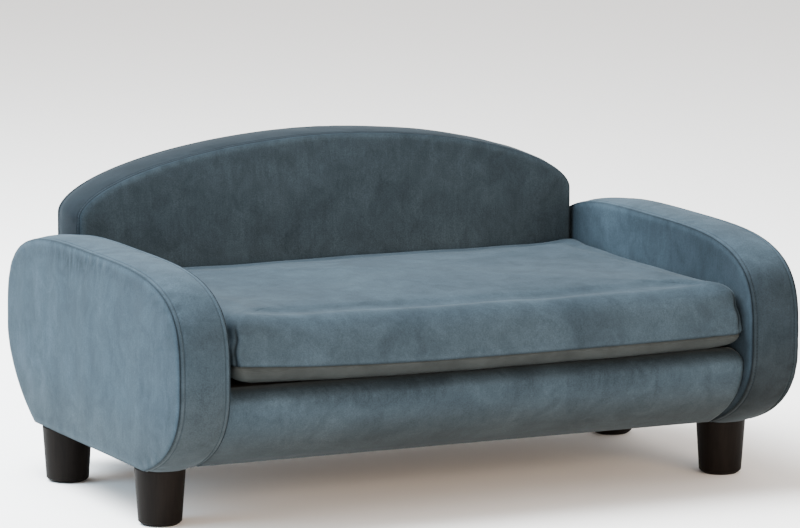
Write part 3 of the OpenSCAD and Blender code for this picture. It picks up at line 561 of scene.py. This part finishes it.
def slab_band(arc, foot_z, thickness, seed, count, shade):
    """A band: vertices (u, v, w), quads, marks, and a function that gives the path along it at w."""
    line = resampled(clipped(arc, foot_z), count)
    out = normals_of(line)
    ws = np.concatenate([BAND_ROWS, np.linspace(0.0125, thickness - 0.0125, 17), (thickness - BAND_ROWS)[::-1]])
    s = np.linspace(0, length_of(line), count)
    pull = [puckers(s, 0.014, seed + k) for k in (0, 7)]

    def gathers(w, e):
        return pull[0 if w < thickness / 2 else 1] * hump(e, 0.010, 0.006)

    def at(w, lift=0.0):
        p = np.stack([s, np.full(count, w)], 1)
        e = min(w, thickness - w)
        soft = min(1, max(0, (e - 0.008) / 0.012))
        h = band_height(p[:, 1], thickness) + lift
        h += soft * (0.0004 * waves(p, 0.09, seed + 2) + 0.0002 * waves(p, 0.03, seed + 4))
        h -= 0.0007 * gathers(w, e)
        return np.column_stack([line + out * h[:, None], p[:, 1]])

    # Painted shade: dark in the seams and the stitching groove, lighter on the rim beside them, darker in the gathers
    # and low down, plus the piece's painted shade or light
    nap, grey = [], 1 - step(line[:, 1], *BAND_GREY)
    for w in ws:
        e = min(w, thickness - w)
        edge_nap = -0.55 * math.exp(-e / 0.0008) + 0.08 * hump(e, 0.0032, 0.0012) - 0.15 * hump(e, STITCH_IN, 0.0008)
        nap.append(edge_nap - 0.12 * gathers(w, e) + shade(line) - 0.14 * grey)
    v = np.concatenate([at(w) for w in ws])
    faces = [tuple(f) for f in grid_faces(len(ws), count)]
    return v, faces, {"nap": np.concatenate(nap), "grey": np.tile(grey, len(ws))}, at


def flipped(faces):
    return [tuple(reversed(f)) for f in faces]


def sewn_slab(names, arc, foot_z, thickness, place, mirrored, rolls, seed, counts, shades, brush):
    """Builds a slab's far face, near face and band, all named, and its stitches. place maps (u, v, w) to the scene."""
    outer, band, inner = names
    (inner_roll, inner_crown), (outer_roll, outer_crown) = rolls
    count, foot_count = counts

    def sewn(name, v, faces, marks, turned):
        o = new_object(name + "_velvet", place(v), flipped(faces) if turned else faces)
        piece(marked(o, **marks), "sofa", "velvet", name)

    v, faces, marks = slab_face(arc, foot_z, outer_roll, outer_crown, seed, count, foot_count, shades[0], brush)
    v[:, 2] += thickness
    sewn(outer, v, faces, marks, not mirrored)
    v, faces, marks = slab_face(arc, foot_z, inner_roll, inner_crown, seed + 20, count, foot_count, shades[2],
                                no_strokes)
    v[:, 2] = -v[:, 2]
    sewn(inner, v, faces, marks, mirrored)
    v, faces, marks, at = slab_band(arc, foot_z, thickness, seed + 40, count + 60, shades[1])
    sewn(band, v, faces, marks, not mirrored)
    for k, w in enumerate((STITCH_IN, thickness - STITCH_IN)):
        path = place(at(w, STITCH_LIFT))[3:-3]
        name = band.replace("_band", f"_stitches_{k + 1}")
        piece(stitches_on(name, path, *SEAM_STITCH), "sofa", "thread")


def right_arm(v):
    return np.column_stack([SEAT_W / 2 + v[:, 2], v[:, 0], v[:, 1]])


def left_arm(v):
    return right_arm(v) * [-1, 1, 1]


def on_back(v):
    return np.column_stack([v[:, 0], BACK_REAR - v[:, 2], v[:, 1]])


# A whole piece evenly lighter or darker: painted light or shade
def level_nap(value):
    return lambda p: np.full(len(p), float(value))


def no_strokes(uv, d):
    return np.zeros(len(uv))


def top_strokes(uv, d):
    """Where hands brushed the pile, below the seam along the arm's top."""
    high = step(uv[:, 1], ARM_TOP_Z - 0.075, ARM_TOP_Z - 0.02)
    return high * hump(d, 0.016, 0.020) * (0.14 + 0.86 * hump(uv[:, 0], 0.04, 0.07))


def shaded_front(p):
    """Painted shade on the right band's front end, darker below its top."""
    return -0.46 * step(-p[:, 0], 0.16, 0.25) * step(-p[:, 1], -0.30, -0.25)


def shaded_inside(p):
    """Painted shadow on the right arm's inside, darker towards the front."""
    return -0.34 * step(-p[:, 0], -0.10, 0.12)


ARM, BACK = arm_arc(), back_arc()
THIN_ROLL, FULL_ROLL = (IN_ROLL_H, IN_CROWN), (ROLL_H, CROWN)
# Points round each outline, along its arc and along its foot
ARM_COUNTS, BACK_COUNTS = (420, 90), (460, 140)
# Painted shade and light by piece: the left arm's faces a little darker and its band a little lighter, the right arm's
# band and inside darker towards the front
for side, where, seed, shades in (("left", left_arm, 11, [level_nap(-0.05), level_nap(0.02), level_nap(-0.05)]),
                                  ("right", right_arm, 71, [level_nap(0), shaded_front, shaded_inside])):
    sewn_slab([f"{side}_arm_{part}" for part in ("outer_panel", "band", "inner_panel")], ARM, LEG_H, ARM_T, where,
              where is left_arm, (THIN_ROLL, FULL_ROLL), seed, ARM_COUNTS, shades, top_strokes)
# Painted light and shade on the back: its front panel lighter, its band much darker against the light from above
sewn_slab(["back_front_panel", "back_band", "back_rear_panel"], BACK, BASE_Z, BACK_T, on_back, False,
          (FULL_ROLL, FULL_ROLL), 131, BACK_COUNTS, [level_nap(0.18), level_nap(-0.75), level_nap(0)], no_strokes)


# Base front

def base_curve():
    """Section (y, z) of the base's front, from its foot up over the nose."""
    drop = (BASE_TOP - NOSE_H - BASE_Z) / BASE_CUT
    x, z = squared(-BASE_FRONT, drop, BASE_P, cut_angle(BASE_CUT, BASE_P) * (1 - np.linspace(0, 1, 300)))
    low = np.stack([-x, BASE_TOP - NOSE_H - z], 1)
    a = np.linspace(0, math.pi / 2, 120)
    nose = np.stack([BASE_FRONT + NOSE_D * (1 - np.cos(a)), BASE_TOP - NOSE_H + NOSE_H * np.sin(a)], 1)
    return np.concatenate([[[low[0, 0] + 0.010, BASE_Z]], low, nose[1:], [[nose[-1, 0] + 0.009, BASE_TOP]]])


BASE_POINTS, BASE_SECTIONS, FOAM_SECTIONS = 90, 220, 60
# How far in each row of the cover's turned ends lies, and how far the foam stays inside the cover and short of its ends
TURNED_IN, FOAM_IN, FOAM_SHORT = (0.020, 0.010, 0.003), 0.0022, 0.0016


def base_front_cover(profile, out):
    """The cover's vertices: sections from left to right, between ends that are turned in."""
    xs = np.linspace(-BASE_W / 2 - 0.0002, BASE_W / 2 + 0.0002, BASE_SECTIONS)
    rows = [np.column_stack([np.full(BASE_POINTS, xs[0]), profile - out * inset]) for inset in TURNED_IN]
    for x in xs:
        end = BASE_W / 2 - abs(x)
        p = np.column_stack([np.full(BASE_POINTS, x), profile])
        h = 0.0007 * waves(p[:, [0, 2]], 0.13, 5) + 0.0003 * waves(p, 0.04, 6)
        h = h * min(1, end / 0.02) - 0.0006 * math.exp(-end / 0.003)
        h = np.minimum(h, 0.0010) * np.clip((profile[:, 1] - BASE_Z) / 0.01, 0, 1)
        h = h * np.clip((BASE_TOP - profile[:, 1]) / 0.004 + 0.15, 0, 1)
        rows.append(np.column_stack([p[:, 0], profile + out * h[:, None]]))
    rows += [row * [-1, 1, 1] for row in rows[len(TURNED_IN) - 1::-1]]
    return np.concatenate(rows)


def base_front_foam(profile, out):
    """Vertices and faces of a closed roll inside the cover, flat behind."""
    behind = [[profile[-1, 0] - 0.004, BASE_TOP - 0.014], [profile[0, 0] + 0.004, BASE_TOP - 0.014]]
    section = np.concatenate([(profile - out * FOAM_IN)[2:-2], behind])
    n = len(section)
    rows = []
    for x in np.linspace(FOAM_SHORT - BASE_W / 2, BASE_W / 2 - FOAM_SHORT, FOAM_SECTIONS):
        p = np.column_stack([np.full(n, x), section])
        rows.append(np.column_stack([p[:, 0], section + 0.0003 * waves(p, 0.02, 8)[:, None]]))
    faces = [tuple(q) for q in grid_faces(FOAM_SECTIONS, n, True)]
    faces += [tuple(range(n - 1, -1, -1)), tuple(range((FOAM_SECTIONS - 1) * n, FOAM_SECTIONS * n))]
    return np.concatenate(rows), faces


front_line = resampled(base_curve(), BASE_POINTS)
front_out = normals_of(front_line)
v = base_front_cover(front_line, front_out)
# Painted shade low on the base front and a little painted light all over; its upper part darker in patches, with
# brushed strokes
high, grey = step(v[:, 2], BASE_TOP - 0.042, BASE_TOP - 0.012), 1 - step(v[:, 2], *BASE_GREY)
patch = np.clip(0.5 + 0.9 * waves(v, 0.045, 7), 0, 1)
fascia = new_object("base_front_velvet", v, flipped(grid_faces(len(v) // BASE_POINTS, BASE_POINTS)))
marked(fascia, nap=0.02 - 0.18 * high * patch - 0.10 * grey, brush=0.30 * high * patch, grey=grey)
piece(fascia, "sofa", "velvet", "base_front_cover")

roll_foam = new_object("base_front_foam", *base_front_foam(front_line, front_out))
piece(roll_foam, "sofa", "foam", "base_front_roll")

# Cushion: a boxed cover of velvet with sewn corners, over a lining that wraps under it

CUSHION_Z = BASE_TOP + PLAY
C_HALF = SEAT_W / 2 - INNER_RISE - 0.006
C_REAR = BACK_FRONT - OUTER_RISE - 0.012
C_FRONT = 0.018 - SOFA_D / 2
C_DEPTH = C_REAR - C_FRONT
# Plan: corner radius, bow of the front, pull of the sides
C_R, C_BOW, C_PULL = 0.010, 0.004, 0.0025
# Heights of the seam, of the side above it and of the crown
C_SEAM, C_SIDE, C_CROWN = 0.023, 0.058, 0.009
# Rolled edges above and below the seam: how far in, how square, and how far the front leans back at the top
C_ROLL, C_TOP_P, C_UNDER_ROLL, C_UNDER_P, C_LEAN = 0.038, 3.3, 0.044, 1.9, 0.014
SIDE_COUNT, WIDE_COUNT, TURN_COUNT = 110, 170, 14


def cushion_plan(inset):
    """Seam outline moved inwards, clockwise from the front left corner, with the same count on every side."""
    x = C_HALF - inset - C_R
    front, rear = C_FRONT + inset + C_R, C_REAR - inset - C_R
    side = np.linspace(0, 1, SIDE_COUNT, endpoint=False)[:, None]
    wide = np.linspace(0, 1, WIDE_COUNT, endpoint=False)[:, None]
    turn = np.linspace(math.pi, math.pi / 2, TURN_COUNT, endpoint=False)

    def corner(cx, cy, k):
        a = turn - k * math.pi / 2
        return np.stack([cx + C_R * np.cos(a), cy + C_R * np.sin(a)], 1)

    def line(p, q, t):
        return np.array(p) + (np.array(q) - np.array(p)) * t

    left = line((-x - C_R, front), (-x - C_R, rear), side)
    back = line((-x, rear + C_R), (x, rear + C_R), wide)
    right_ = line((x + C_R, rear), (x + C_R, front), side)
    edge = line((x, front - C_R), (-x, front - C_R), wide)
    pulled = C_PULL * np.sin(math.pi * side[:, 0]) ** 0.7
    left[:, 0] += pulled
    right_[:, 0] -= pulled
    edge[:, 1] -= C_BOW * (1 - (edge[:, 0] / x) ** 2)
    return np.concatenate([left, corner(-x, rear, 0), back, corner(x, rear, 1),
                           right_, corner(x, front, 2), edge, corner(-x, front, 3)])


C_COUNT = 2 * SIDE_COUNT + 2 * WIDE_COUNT + 4 * TURN_COUNT
# The columns in the middle of each corner
CORNERS = [SIDE_COUNT + TURN_COUNT / 2, SIDE_COUNT + WIDE_COUNT + 1.5 * TURN_COUNT,
           2 * SIDE_COUNT + WIDE_COUNT + 2.5 * TURN_COUNT, 2 * (SIDE_COUNT + WIDE_COUNT) + 3.5 * TURN_COUNT]


def cushion_loop(inset, z, lean):
    """The plan moved inwards at height z, its front leaning back."""
    p = cushion_plan(inset)
    y = C_REAR + (p[:, 1] - C_REAR) * (1 - lean / C_DEPTH)
    return np.column_stack([p[:, 0], y, np.full(C_COUNT, CUSHION_Z + z)])


def seam_path():
    """Distance along the seam of each column, and the seam's whole length."""
    p = cushion_loop(0, C_SEAM, 0)
    length = np.concatenate([[0], np.cumsum(np.linalg.norm(np.diff(np.concatenate([p, p[:1]]), axis=0), axis=1))])
    return length[:-1], length[-1]


ALONG, AROUND = seam_path()


def corner_gap():
    """Signed distance along the seam to the nearest corner, for each column."""
    at = np.interp(CORNERS, np.arange(C_COUNT), ALONG)
    d = (ALONG[:, None] - at[None] + AROUND / 2) % AROUND - AROUND / 2
    return d[np.arange(C_COUNT), np.abs(d).argmin(1)]


def lying(v):
    """How the loose cushion lies: a little to the right, its front dipped and its corners up, the left one most."""
    front = np.clip((0.02 - v[:, 1]) / 0.26, 0, 1)
    left = np.clip(-v[:, 0] / C_HALF, 0, 1)
    right_ = np.clip(v[:, 0] / C_HALF, 0, 1)
    v = v.copy()
    rise = 0.0110 * left ** 2.4 + 0.0020 * right_ ** 3
    rise *= 0.55 + 0.45 * np.clip((v[:, 2] - CUSHION_Z) / C_SEAM, 0, 1)
    v[:, 2] += front * (rise - 0.0018 * np.clip((v[:, 2] - CUSHION_Z) / 0.01, 0, 1))
    v[:, 0] += 0.0035
    return v


def shell(rows, outward):
    """Half of a cover: loops of C_COUNT points, the last one filled by a fan."""
    v = np.concatenate(rows + [rows[-1].mean(0)[None]])
    f = [tuple(q) for q in grid_faces(len(rows), C_COUNT, True)]
    last = (len(rows) - 1) * C_COUNT
    f += [(last + i, last + (i + 1) % C_COUNT, len(v) - 1) for i in range(C_COUNT)]
    return v, (flipped(f) if outward else f)


def outward_of(rows):
    """Unit normals of a stack of loops, pointing away from the cushion's middle."""
    g = np.stack(rows)
    du = np.roll(g, -1, 1) - np.roll(g, 1, 1)
    dv = np.gradient(g, axis=0)
    n = np.cross(dv, du)
    n /= np.maximum(np.linalg.norm(n, axis=2), 1e-9)[..., None]
    centre = np.array([0, (C_FRONT + C_REAR) / 2, CUSHION_Z + 0.03])
    sign = np.sign(((g - centre) * n).sum(2).mean())
    return n * sign


def coords(mesh):
    v = np.empty(len(mesh.vertices) * 3, dtype=np.float32)
    mesh.vertices.foreach_get("co", v)
    return v.reshape(-1, 3).astype(float)


def closed_body(name, loops):
    """One closed mesh over a stack of loops, both ends filled by fans."""
    v = np.concatenate([loops[0].mean(0)[None]] + loops + [loops[-1].mean(0)[None]])
    f = [tuple(q) for q in grid_faces(len(loops), C_COUNT, True) + 1]
    f += [(0, 1 + (i + 1) % C_COUNT, 1 + i) for i in range(C_COUNT)]
    last = 1 + (len(loops) - 1) * C_COUNT
    f += [(last + i, last + (i + 1) % C_COUNT, len(v) - 1) for i in range(C_COUNT)]
    return new_object(name, v, f)


VOXEL, PRESSURE, FRAMES, SWELL_CAP, NEIGHBOURS = 0.006, 4, 20, 0.008, 8
# The neighbours along a loop over which the movement is averaged
SMOOTHED = range(-7, 8)


def swelling(body, points):
    """How points on a closed body move when its cloth is blown up, with its seam and its flat underside held."""
    remesh = body.modifiers.new("remesh", "REMESH")
    remesh.mode, remesh.voxel_size = "VOXEL", VOXEL
    mesh = bpy.data.meshes.new_from_object(body.evaluated_get(bpy.context.evaluated_depsgraph_get()))
    body.modifiers.clear()
    body.data = mesh
    start = coords(mesh)
    z = start[:, 2] - CUSHION_Z
    held = body.vertex_groups.new(name="held")
    held.add([int(i) for i in np.where((np.abs(z - C_SEAM) < 0.004) | (z < 0.002))[0]], 1.0, "REPLACE")
    blown = body.modifiers.new("cloth", "CLOTH")
    blown.settings.use_pressure = True
    blown.settings.uniform_pressure_force = PRESSURE
    blown.settings.effector_weights.gravity = 0
    blown.settings.vertex_group_mass = "held"
    blown.settings.quality = 6
    blown.point_cache.frame_end = FRAMES
    for n in range(1, FRAMES + 1):
        bpy.context.scene.frame_set(n)
    move = coords(body.evaluated_get(bpy.context.evaluated_depsgraph_get()).data) - start
    bpy.context.scene.frame_set(1)
    bpy.data.objects.remove(body)
    move *= np.minimum(1, SWELL_CAP / np.maximum(np.linalg.norm(move, axis=1), 1e-9))[:, None]
    tree = KDTree(len(start))
    for i, q in enumerate(start):
        tree.insert(q, i)
    tree.balance()
    out = np.zeros((len(points), 3))
    for i, q in enumerate(points):
        near = tree.find_n(q, NEIGHBOURS)
        share = np.array([1 / (d + 0.002) ** 2 for _, _, d in near])
        out[i] = (move[[j for _, j, _ in near]] * share[:, None]).sum(0) / share.sum()
    return out


def calm(row):
    """Share of the swelling that a loop keeps: less on the top by the corners, where the cloth would crease."""
    dx = C_HALF - np.abs(row[:, 0])
    dy = np.minimum(np.abs(row[:, 1] - C_FRONT), np.abs(row[:, 1] - C_REAR))
    return 1 - 0.9 * hump(np.hypot(dx, dy), 0, 0.05) * step(row[:, 2] - CUSHION_Z - C_SEAM, 0.030, 0.048)


def swell(rows, outs, move):
    """Moves a stack of loops, and takes nine tenths of each loop's mean swelling off again."""
    move = move.reshape(len(rows), C_COUNT, 3)
    move = sum(np.roll(move, k, axis=1) for k in SMOOTHED) / len(SMOOTHED)
    for row, out, part in zip(rows, outs, move):
        row += part * calm(row)[:, None] - out * (0.9 * (part * out).sum(1).mean())


def half_cushion(angles, shares, inwards, tall, power, way, lean, crown, spread):
    """Loops from the seam round a rolled edge (way 1 up, -1 down) and in to the middle, and how far each has come."""
    rows, come = [], []
    for angle in angles:
        x, z = squared(inwards, tall, power, angle)
        rows.append(cushion_loop(inwards - x, C_SEAM + way * z, lean * z / tall))
        come.append(z)
    rim = rows[-1][:, :2]
    mid = (rim.min(0) + rim.max(0)) / 2
    for share in shares:
        h = rows[len(angles) - 1][0, 2] + crown * (1 - share ** 2)
        rows.append(np.column_stack([mid + (rim - mid) * share, np.full(C_COUNT, h)]))
        come.append(tall + spread * (1 - share))
    return rows, come


# Degrees round the roll, close together near the seam, then shares of the rim's size on the way in
TOP_ANGLES = np.concatenate([[0, 0.4, 1.2, 2.4, 4, 6.5, 9.5], np.linspace(13, 90, 22)])
TOP_SHARES = np.concatenate([np.linspace(0.985, 0.85, 10), np.linspace(0.82, 0.03, 36)])
LOW_ANGLES = np.concatenate([[0, 0.6, 1.6, 3, 5, 8, 12], np.linspace(17, 90, 18)])
LOW_SHARES = np.linspace(0.9, 0.1, 8)

GAP = corner_gap()
top_rows, rise = half_cushion(TOP_ANGLES, TOP_SHARES, C_ROLL, C_SIDE, C_TOP_P, 1, C_LEAN, C_CROWN, 0.2)
low_rows, drop = half_cushion(LOW_ANGLES, LOW_SHARES, C_UNDER_ROLL, C_SEAM, C_UNDER_P, -1, 0, 0, 0)

top_out, low_out = outward_of(top_rows), outward_of(low_rows)
move = swelling(closed_body("cushion_trial", top_rows[::-1] + low_rows[1:]), np.concatenate(top_rows + low_rows))
split = len(top_rows) * C_COUNT
swell(top_rows, top_out, move[:split])
swell(low_rows, low_out, move[split:])
top_out, low_out = outward_of(top_rows), outward_of(low_rows)

pull = puckers(ALONG, 0.010, 401)
near = np.exp(-np.abs(GAP) / 0.030)
side_wall = (np.abs(np.abs(cushion_loop(0, 0, 0)[:, 0]) - C_HALF) < 0.004) * 1.0
nap = []
for k, (row, z) in enumerate(zip(top_rows, rise)):
    up_seam = np.clip(1.15 - z / (C_SIDE * 0.92), 0, 1)
    corner_seam = np.clip((0.78 - z / C_SIDE) * 5, 0, 1)
    groove = 0.0020 * hump(GAP, 0, 0.0016) * corner_seam
    folds = waves(np.column_stack([GAP * 0.8 + np.sign(GAP) * z * 0.9, z * 0.35 - GAP * 0.2]), 0.017, 411)
    fold = 0.0024 * near * (1 - hump(GAP, 0, 0.004)) * up_seam * folds
    body = np.clip(z / 0.02, 0, 1)
    broad = 0.0010 * waves(row, 0.16, 421) * body + 0.0004 * waves(row * [1, 1, 0.5], 0.05, 422) * body
    gather = 0.0011 * pull * math.exp(-z / 0.007) * min(1, z / 0.0012) + 0.0015 * hump(z, 0, 0.0016)
    row += top_out[k] * (broad + fold - groove - gather)[:, None]
    # Painted shade on the cushion: its top darker, its side walls darker where shade falls beside the arms, its corner
    # and edge seams dark, its folds lighter and darker, and a painted highlight just above the seam
    on_top = float(step(z, 0.040, 0.058))
    shade = -0.24 * on_top - 0.26 * side_wall * (1 - on_top) - 0.5 * hump(GAP, 0, 0.0014) * corner_seam
    nap.append(shade + 0.12 * near * folds * up_seam - 0.55 * math.exp(-z / 0.0009) + 0.06 * hump(z, 0.004, 0.002))
v, f = shell(top_rows, True)
# The fan's middle gets the top's painted shade
top = marked(new_object("cushion_top_velvet", lying(v), f), nap=np.append(np.concatenate(nap), -0.24))
piece(top, "cushion", "cushion_velvet", "cushion_top_cover")

for k, (row, z) in enumerate(zip(low_rows, drop)):
    slack = 0.0010 * waves(row * [1, 1, 0.3], 0.022, 431) + 0.0012 * waves(row * [1, 1, 0.3], 0.07, 432)
    gather = 0.0010 * pull * math.exp(-z / 0.004) + 0.0015 * hump(z, 0, 0.0014)
    row += low_out[k] * (slack * hump(z, 0.009, 0.008) - gather)[:, None]
low_rows[0][:] = top_rows[0]
v, f = shell(low_rows, False)
under = new_object("cushion_underside_lining", lying(v), f)
piece(under, "cushion", "cushion_lining", "cushion_underside_cover")

# Foam inside the covers
COVER_GAP = 0.0035
inner_top = [row - top_out[k] * COVER_GAP for k, row in enumerate(top_rows)][3:]
inner_low = [row - low_out[k] * COVER_GAP for k, row in enumerate(low_rows)][4:]
core = closed_body("cushion_foam", [lying(l) for l in inner_top[::-1] + inner_low])
piece(core, "cushion", "foam", "cushion_core")

# Zip teeth over the coil, and the sewing that holds its tapes

# Where the teeth stand along the zip, then where teeth and tapes lie behind the cushion and above the floor
ZIP_TEETH = np.arange(-0.2350, 0.2351, 0.0016)
TOOTH_Y, TOOTH_Z = 0.1897, (0.1951, 0.1997)
TAPE_HALF, TAPE_Y, TAPE_SEWING_Z = 0.2455, 0.1890, (0.1893, 0.1913, 0.2033, 0.2053)


def level_line(x, y, z):
    return np.column_stack([x, np.full(len(x), y), np.full(len(x), z)])


teeth = capsules("zip_teeth", *(level_line(ZIP_TEETH, TOOTH_Y, z) for z in TOOTH_Z), 0.00062)
piece(teeth, "cushion", "zip_coil", "zip_chain")
for k, z in enumerate(TAPE_SEWING_Z):
    path = level_line(np.linspace(-TAPE_HALF, TAPE_HALF, 600), TAPE_Y, z)
    piece(stitches_on(f"zip_stitches_{k + 1}", path, *ZIP_STITCH), "cushion", "thread")


# Cloth stapled over the undersides and the deck

SHEET_MESH, TURN_ROWS, STAPLE_IN, STAPLE_LOW = 0.006, 5, 0.005, 0.0002


def turned_up(v, nx, ny, z, height):
    """Adds rows to a sheet's left, right and rear edges that stand up from z by height."""
    g = v.reshape(ny, nx, 3)
    lifts = np.linspace(height / TURN_ROWS, height, TURN_ROWS)
    left = [g[:, :1] * [1, 1, 0] + [0, 0, z + h] for h in lifts[::-1]]
    right_ = [g[:, -1:] * [1, 1, 0] + [0, 0, z + h] for h in lifts]
    g = np.concatenate(left + [g] + right_, 1)
    rear = [np.column_stack([g[-1, :, :2], np.maximum(g[-1, :, 2], z + h)])[None] for h in lifts]
    return np.concatenate([g] + rear).reshape(-1, 3)


def taut_sheet(name, node, x, y, z, down, seed, staples=True, turned=0):
    """A sheet pulled over a frame: level at its edges, a little loose between them, some of it turned up the frame."""
    nx, ny = (max(8, int((b - a) / SHEET_MESH)) for a, b in (x, y))
    gx, gy = np.meshgrid(np.linspace(*x, nx), np.linspace(*y, ny))
    p = np.column_stack([gx.ravel(), gy.ravel()])
    edge = np.minimum(np.minimum(p[:, 0] - x[0], x[1] - p[:, 0]), np.minimum(p[:, 1] - y[0], y[1] - p[:, 1]))
    loose = np.clip(edge / 0.02, 0, 1)
    pulled = np.exp(-edge / 0.008) * waves(p, 0.016, seed + 1) * 0.00018
    h = loose * (0.0005 * waves(p, 0.12, seed) + 0.0002 * waves(p, 0.04, seed + 2) - 0.0003) + pulled
    v = np.column_stack([p, z + np.clip(h, -0.0010, 0.0006 if down else 0.0004) * (1 if down else -1)])
    if turned:
        v = turned_up(v, nx, ny, z, turned)
        nx, ny = nx + 2 * TURN_ROWS, ny + TURN_ROWS
    f = grid_faces(ny, nx)
    o = new_object(name, v, flipped(f) if down else f)
    piece(o, "sofa", "black_cloth", node)
    if not staples:
        return
    (left, right_), (front, rear) = ((a + STAPLE_IN, b - STAPLE_IN) for a, b in (x, y))
    ring = np.array([(left, front), (left, rear), (right_, rear), (right_, front), (left, front)])
    path = np.concatenate([np.linspace(a, b, 200, endpoint=False) for a, b in zip(ring[:-1], ring[1:])])
    path = np.column_stack([path, np.full(len(path), z - STAPLE_LOW)])
    piece(stitches_on(name.replace("_cloth", "_staples"), path, *STAPLE), "sofa", "steel")


foot = clipped(ARM, LEG_H + 0.0006)
ARM_FOOT = foot[0, 0] + 0.0003, foot[-1, 0] - 0.0003
taut_sheet("base_dust_cloth", "base_dust_cover", (-0.34635, 0.34635), (-0.158, 0.1998), 0.0725, True, 501,
           turned=0.03)
for side, x, seed in (("left", (-0.4127, -0.3503), 511), ("right", (0.3503, 0.4127), 521)):
    taut_sheet(f"{side}_arm_underside_cloth", f"{side}_arm_underside", x, ARM_FOOT, 0.0716, True, seed)
taut_sheet("back_underside_cloth", "back_underside", (-0.3460, 0.3460), (BACK_FRONT + 0.0002, BACK_REAR - 0.0002),
           0.0726, True, 531)
taut_sheet("base_deck_cover_cloth", "base_deck_cloth", (-0.346, 0.346), (-0.2145, 0.1995), 0.1734, False, 541,
           staples=False)

# Floor, light

floor = new_object("floor", [(-9, -9, 0), (9, -9, 0), (9, 9, 0), (-9, 9, 0)], [(0, 1, 2, 3)])
floor.data.materials.append(material("floor_white", lambda tree, shader: dress(
    shader, {"Base Color": (0.90, 0.885, 0.865, 1), "Roughness": 0.9})))
floor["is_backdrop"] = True

world = bpy.data.worlds.new("studio")
bpy.context.scene.world = world
world.use_nodes = True
world.node_tree.nodes["Background"].inputs["Color"].default_value = (0.98, 0.95, 0.93, 1)
world.node_tree.nodes["Background"].inputs["Strength"].default_value = 1.45


def area(name, where, towards, size, power, colour):
    light = bpy.data.lights.new(name, "AREA")
    light.shape, light.size, light.size_y, light.energy, light.color = "RECTANGLE", size[0], size[1], power, colour
    o = bpy.data.objects.new(name, light)
    o.location = where
    o.rotation_euler = (Vector(towards) - Vector(where)).to_track_quat("-Z", "Y").to_euler()
    bpy.context.scene.collection.objects.link(o)


area("top", (-1.2, 0.9, 2.8), (0, 0, 0.2), (2.4, 2.4), 640, (0.90, 0.96, 1.0))
area("key", (-3.0, 0.2, 1.3), (0, 0, 0.2), (1.6, 1.6), 78, (0.42, 0.74, 1.0))
area("fill", (0.4, -3.0, 0.9), (0, 0, 0.15), (2.4, 1.2), 100, (1.0, 0.74, 0.52))

plain = lambda b: [[float(c) for c in corner] for corner in b]
{"cad": plain(cad_box), "visual": plain(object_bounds())}
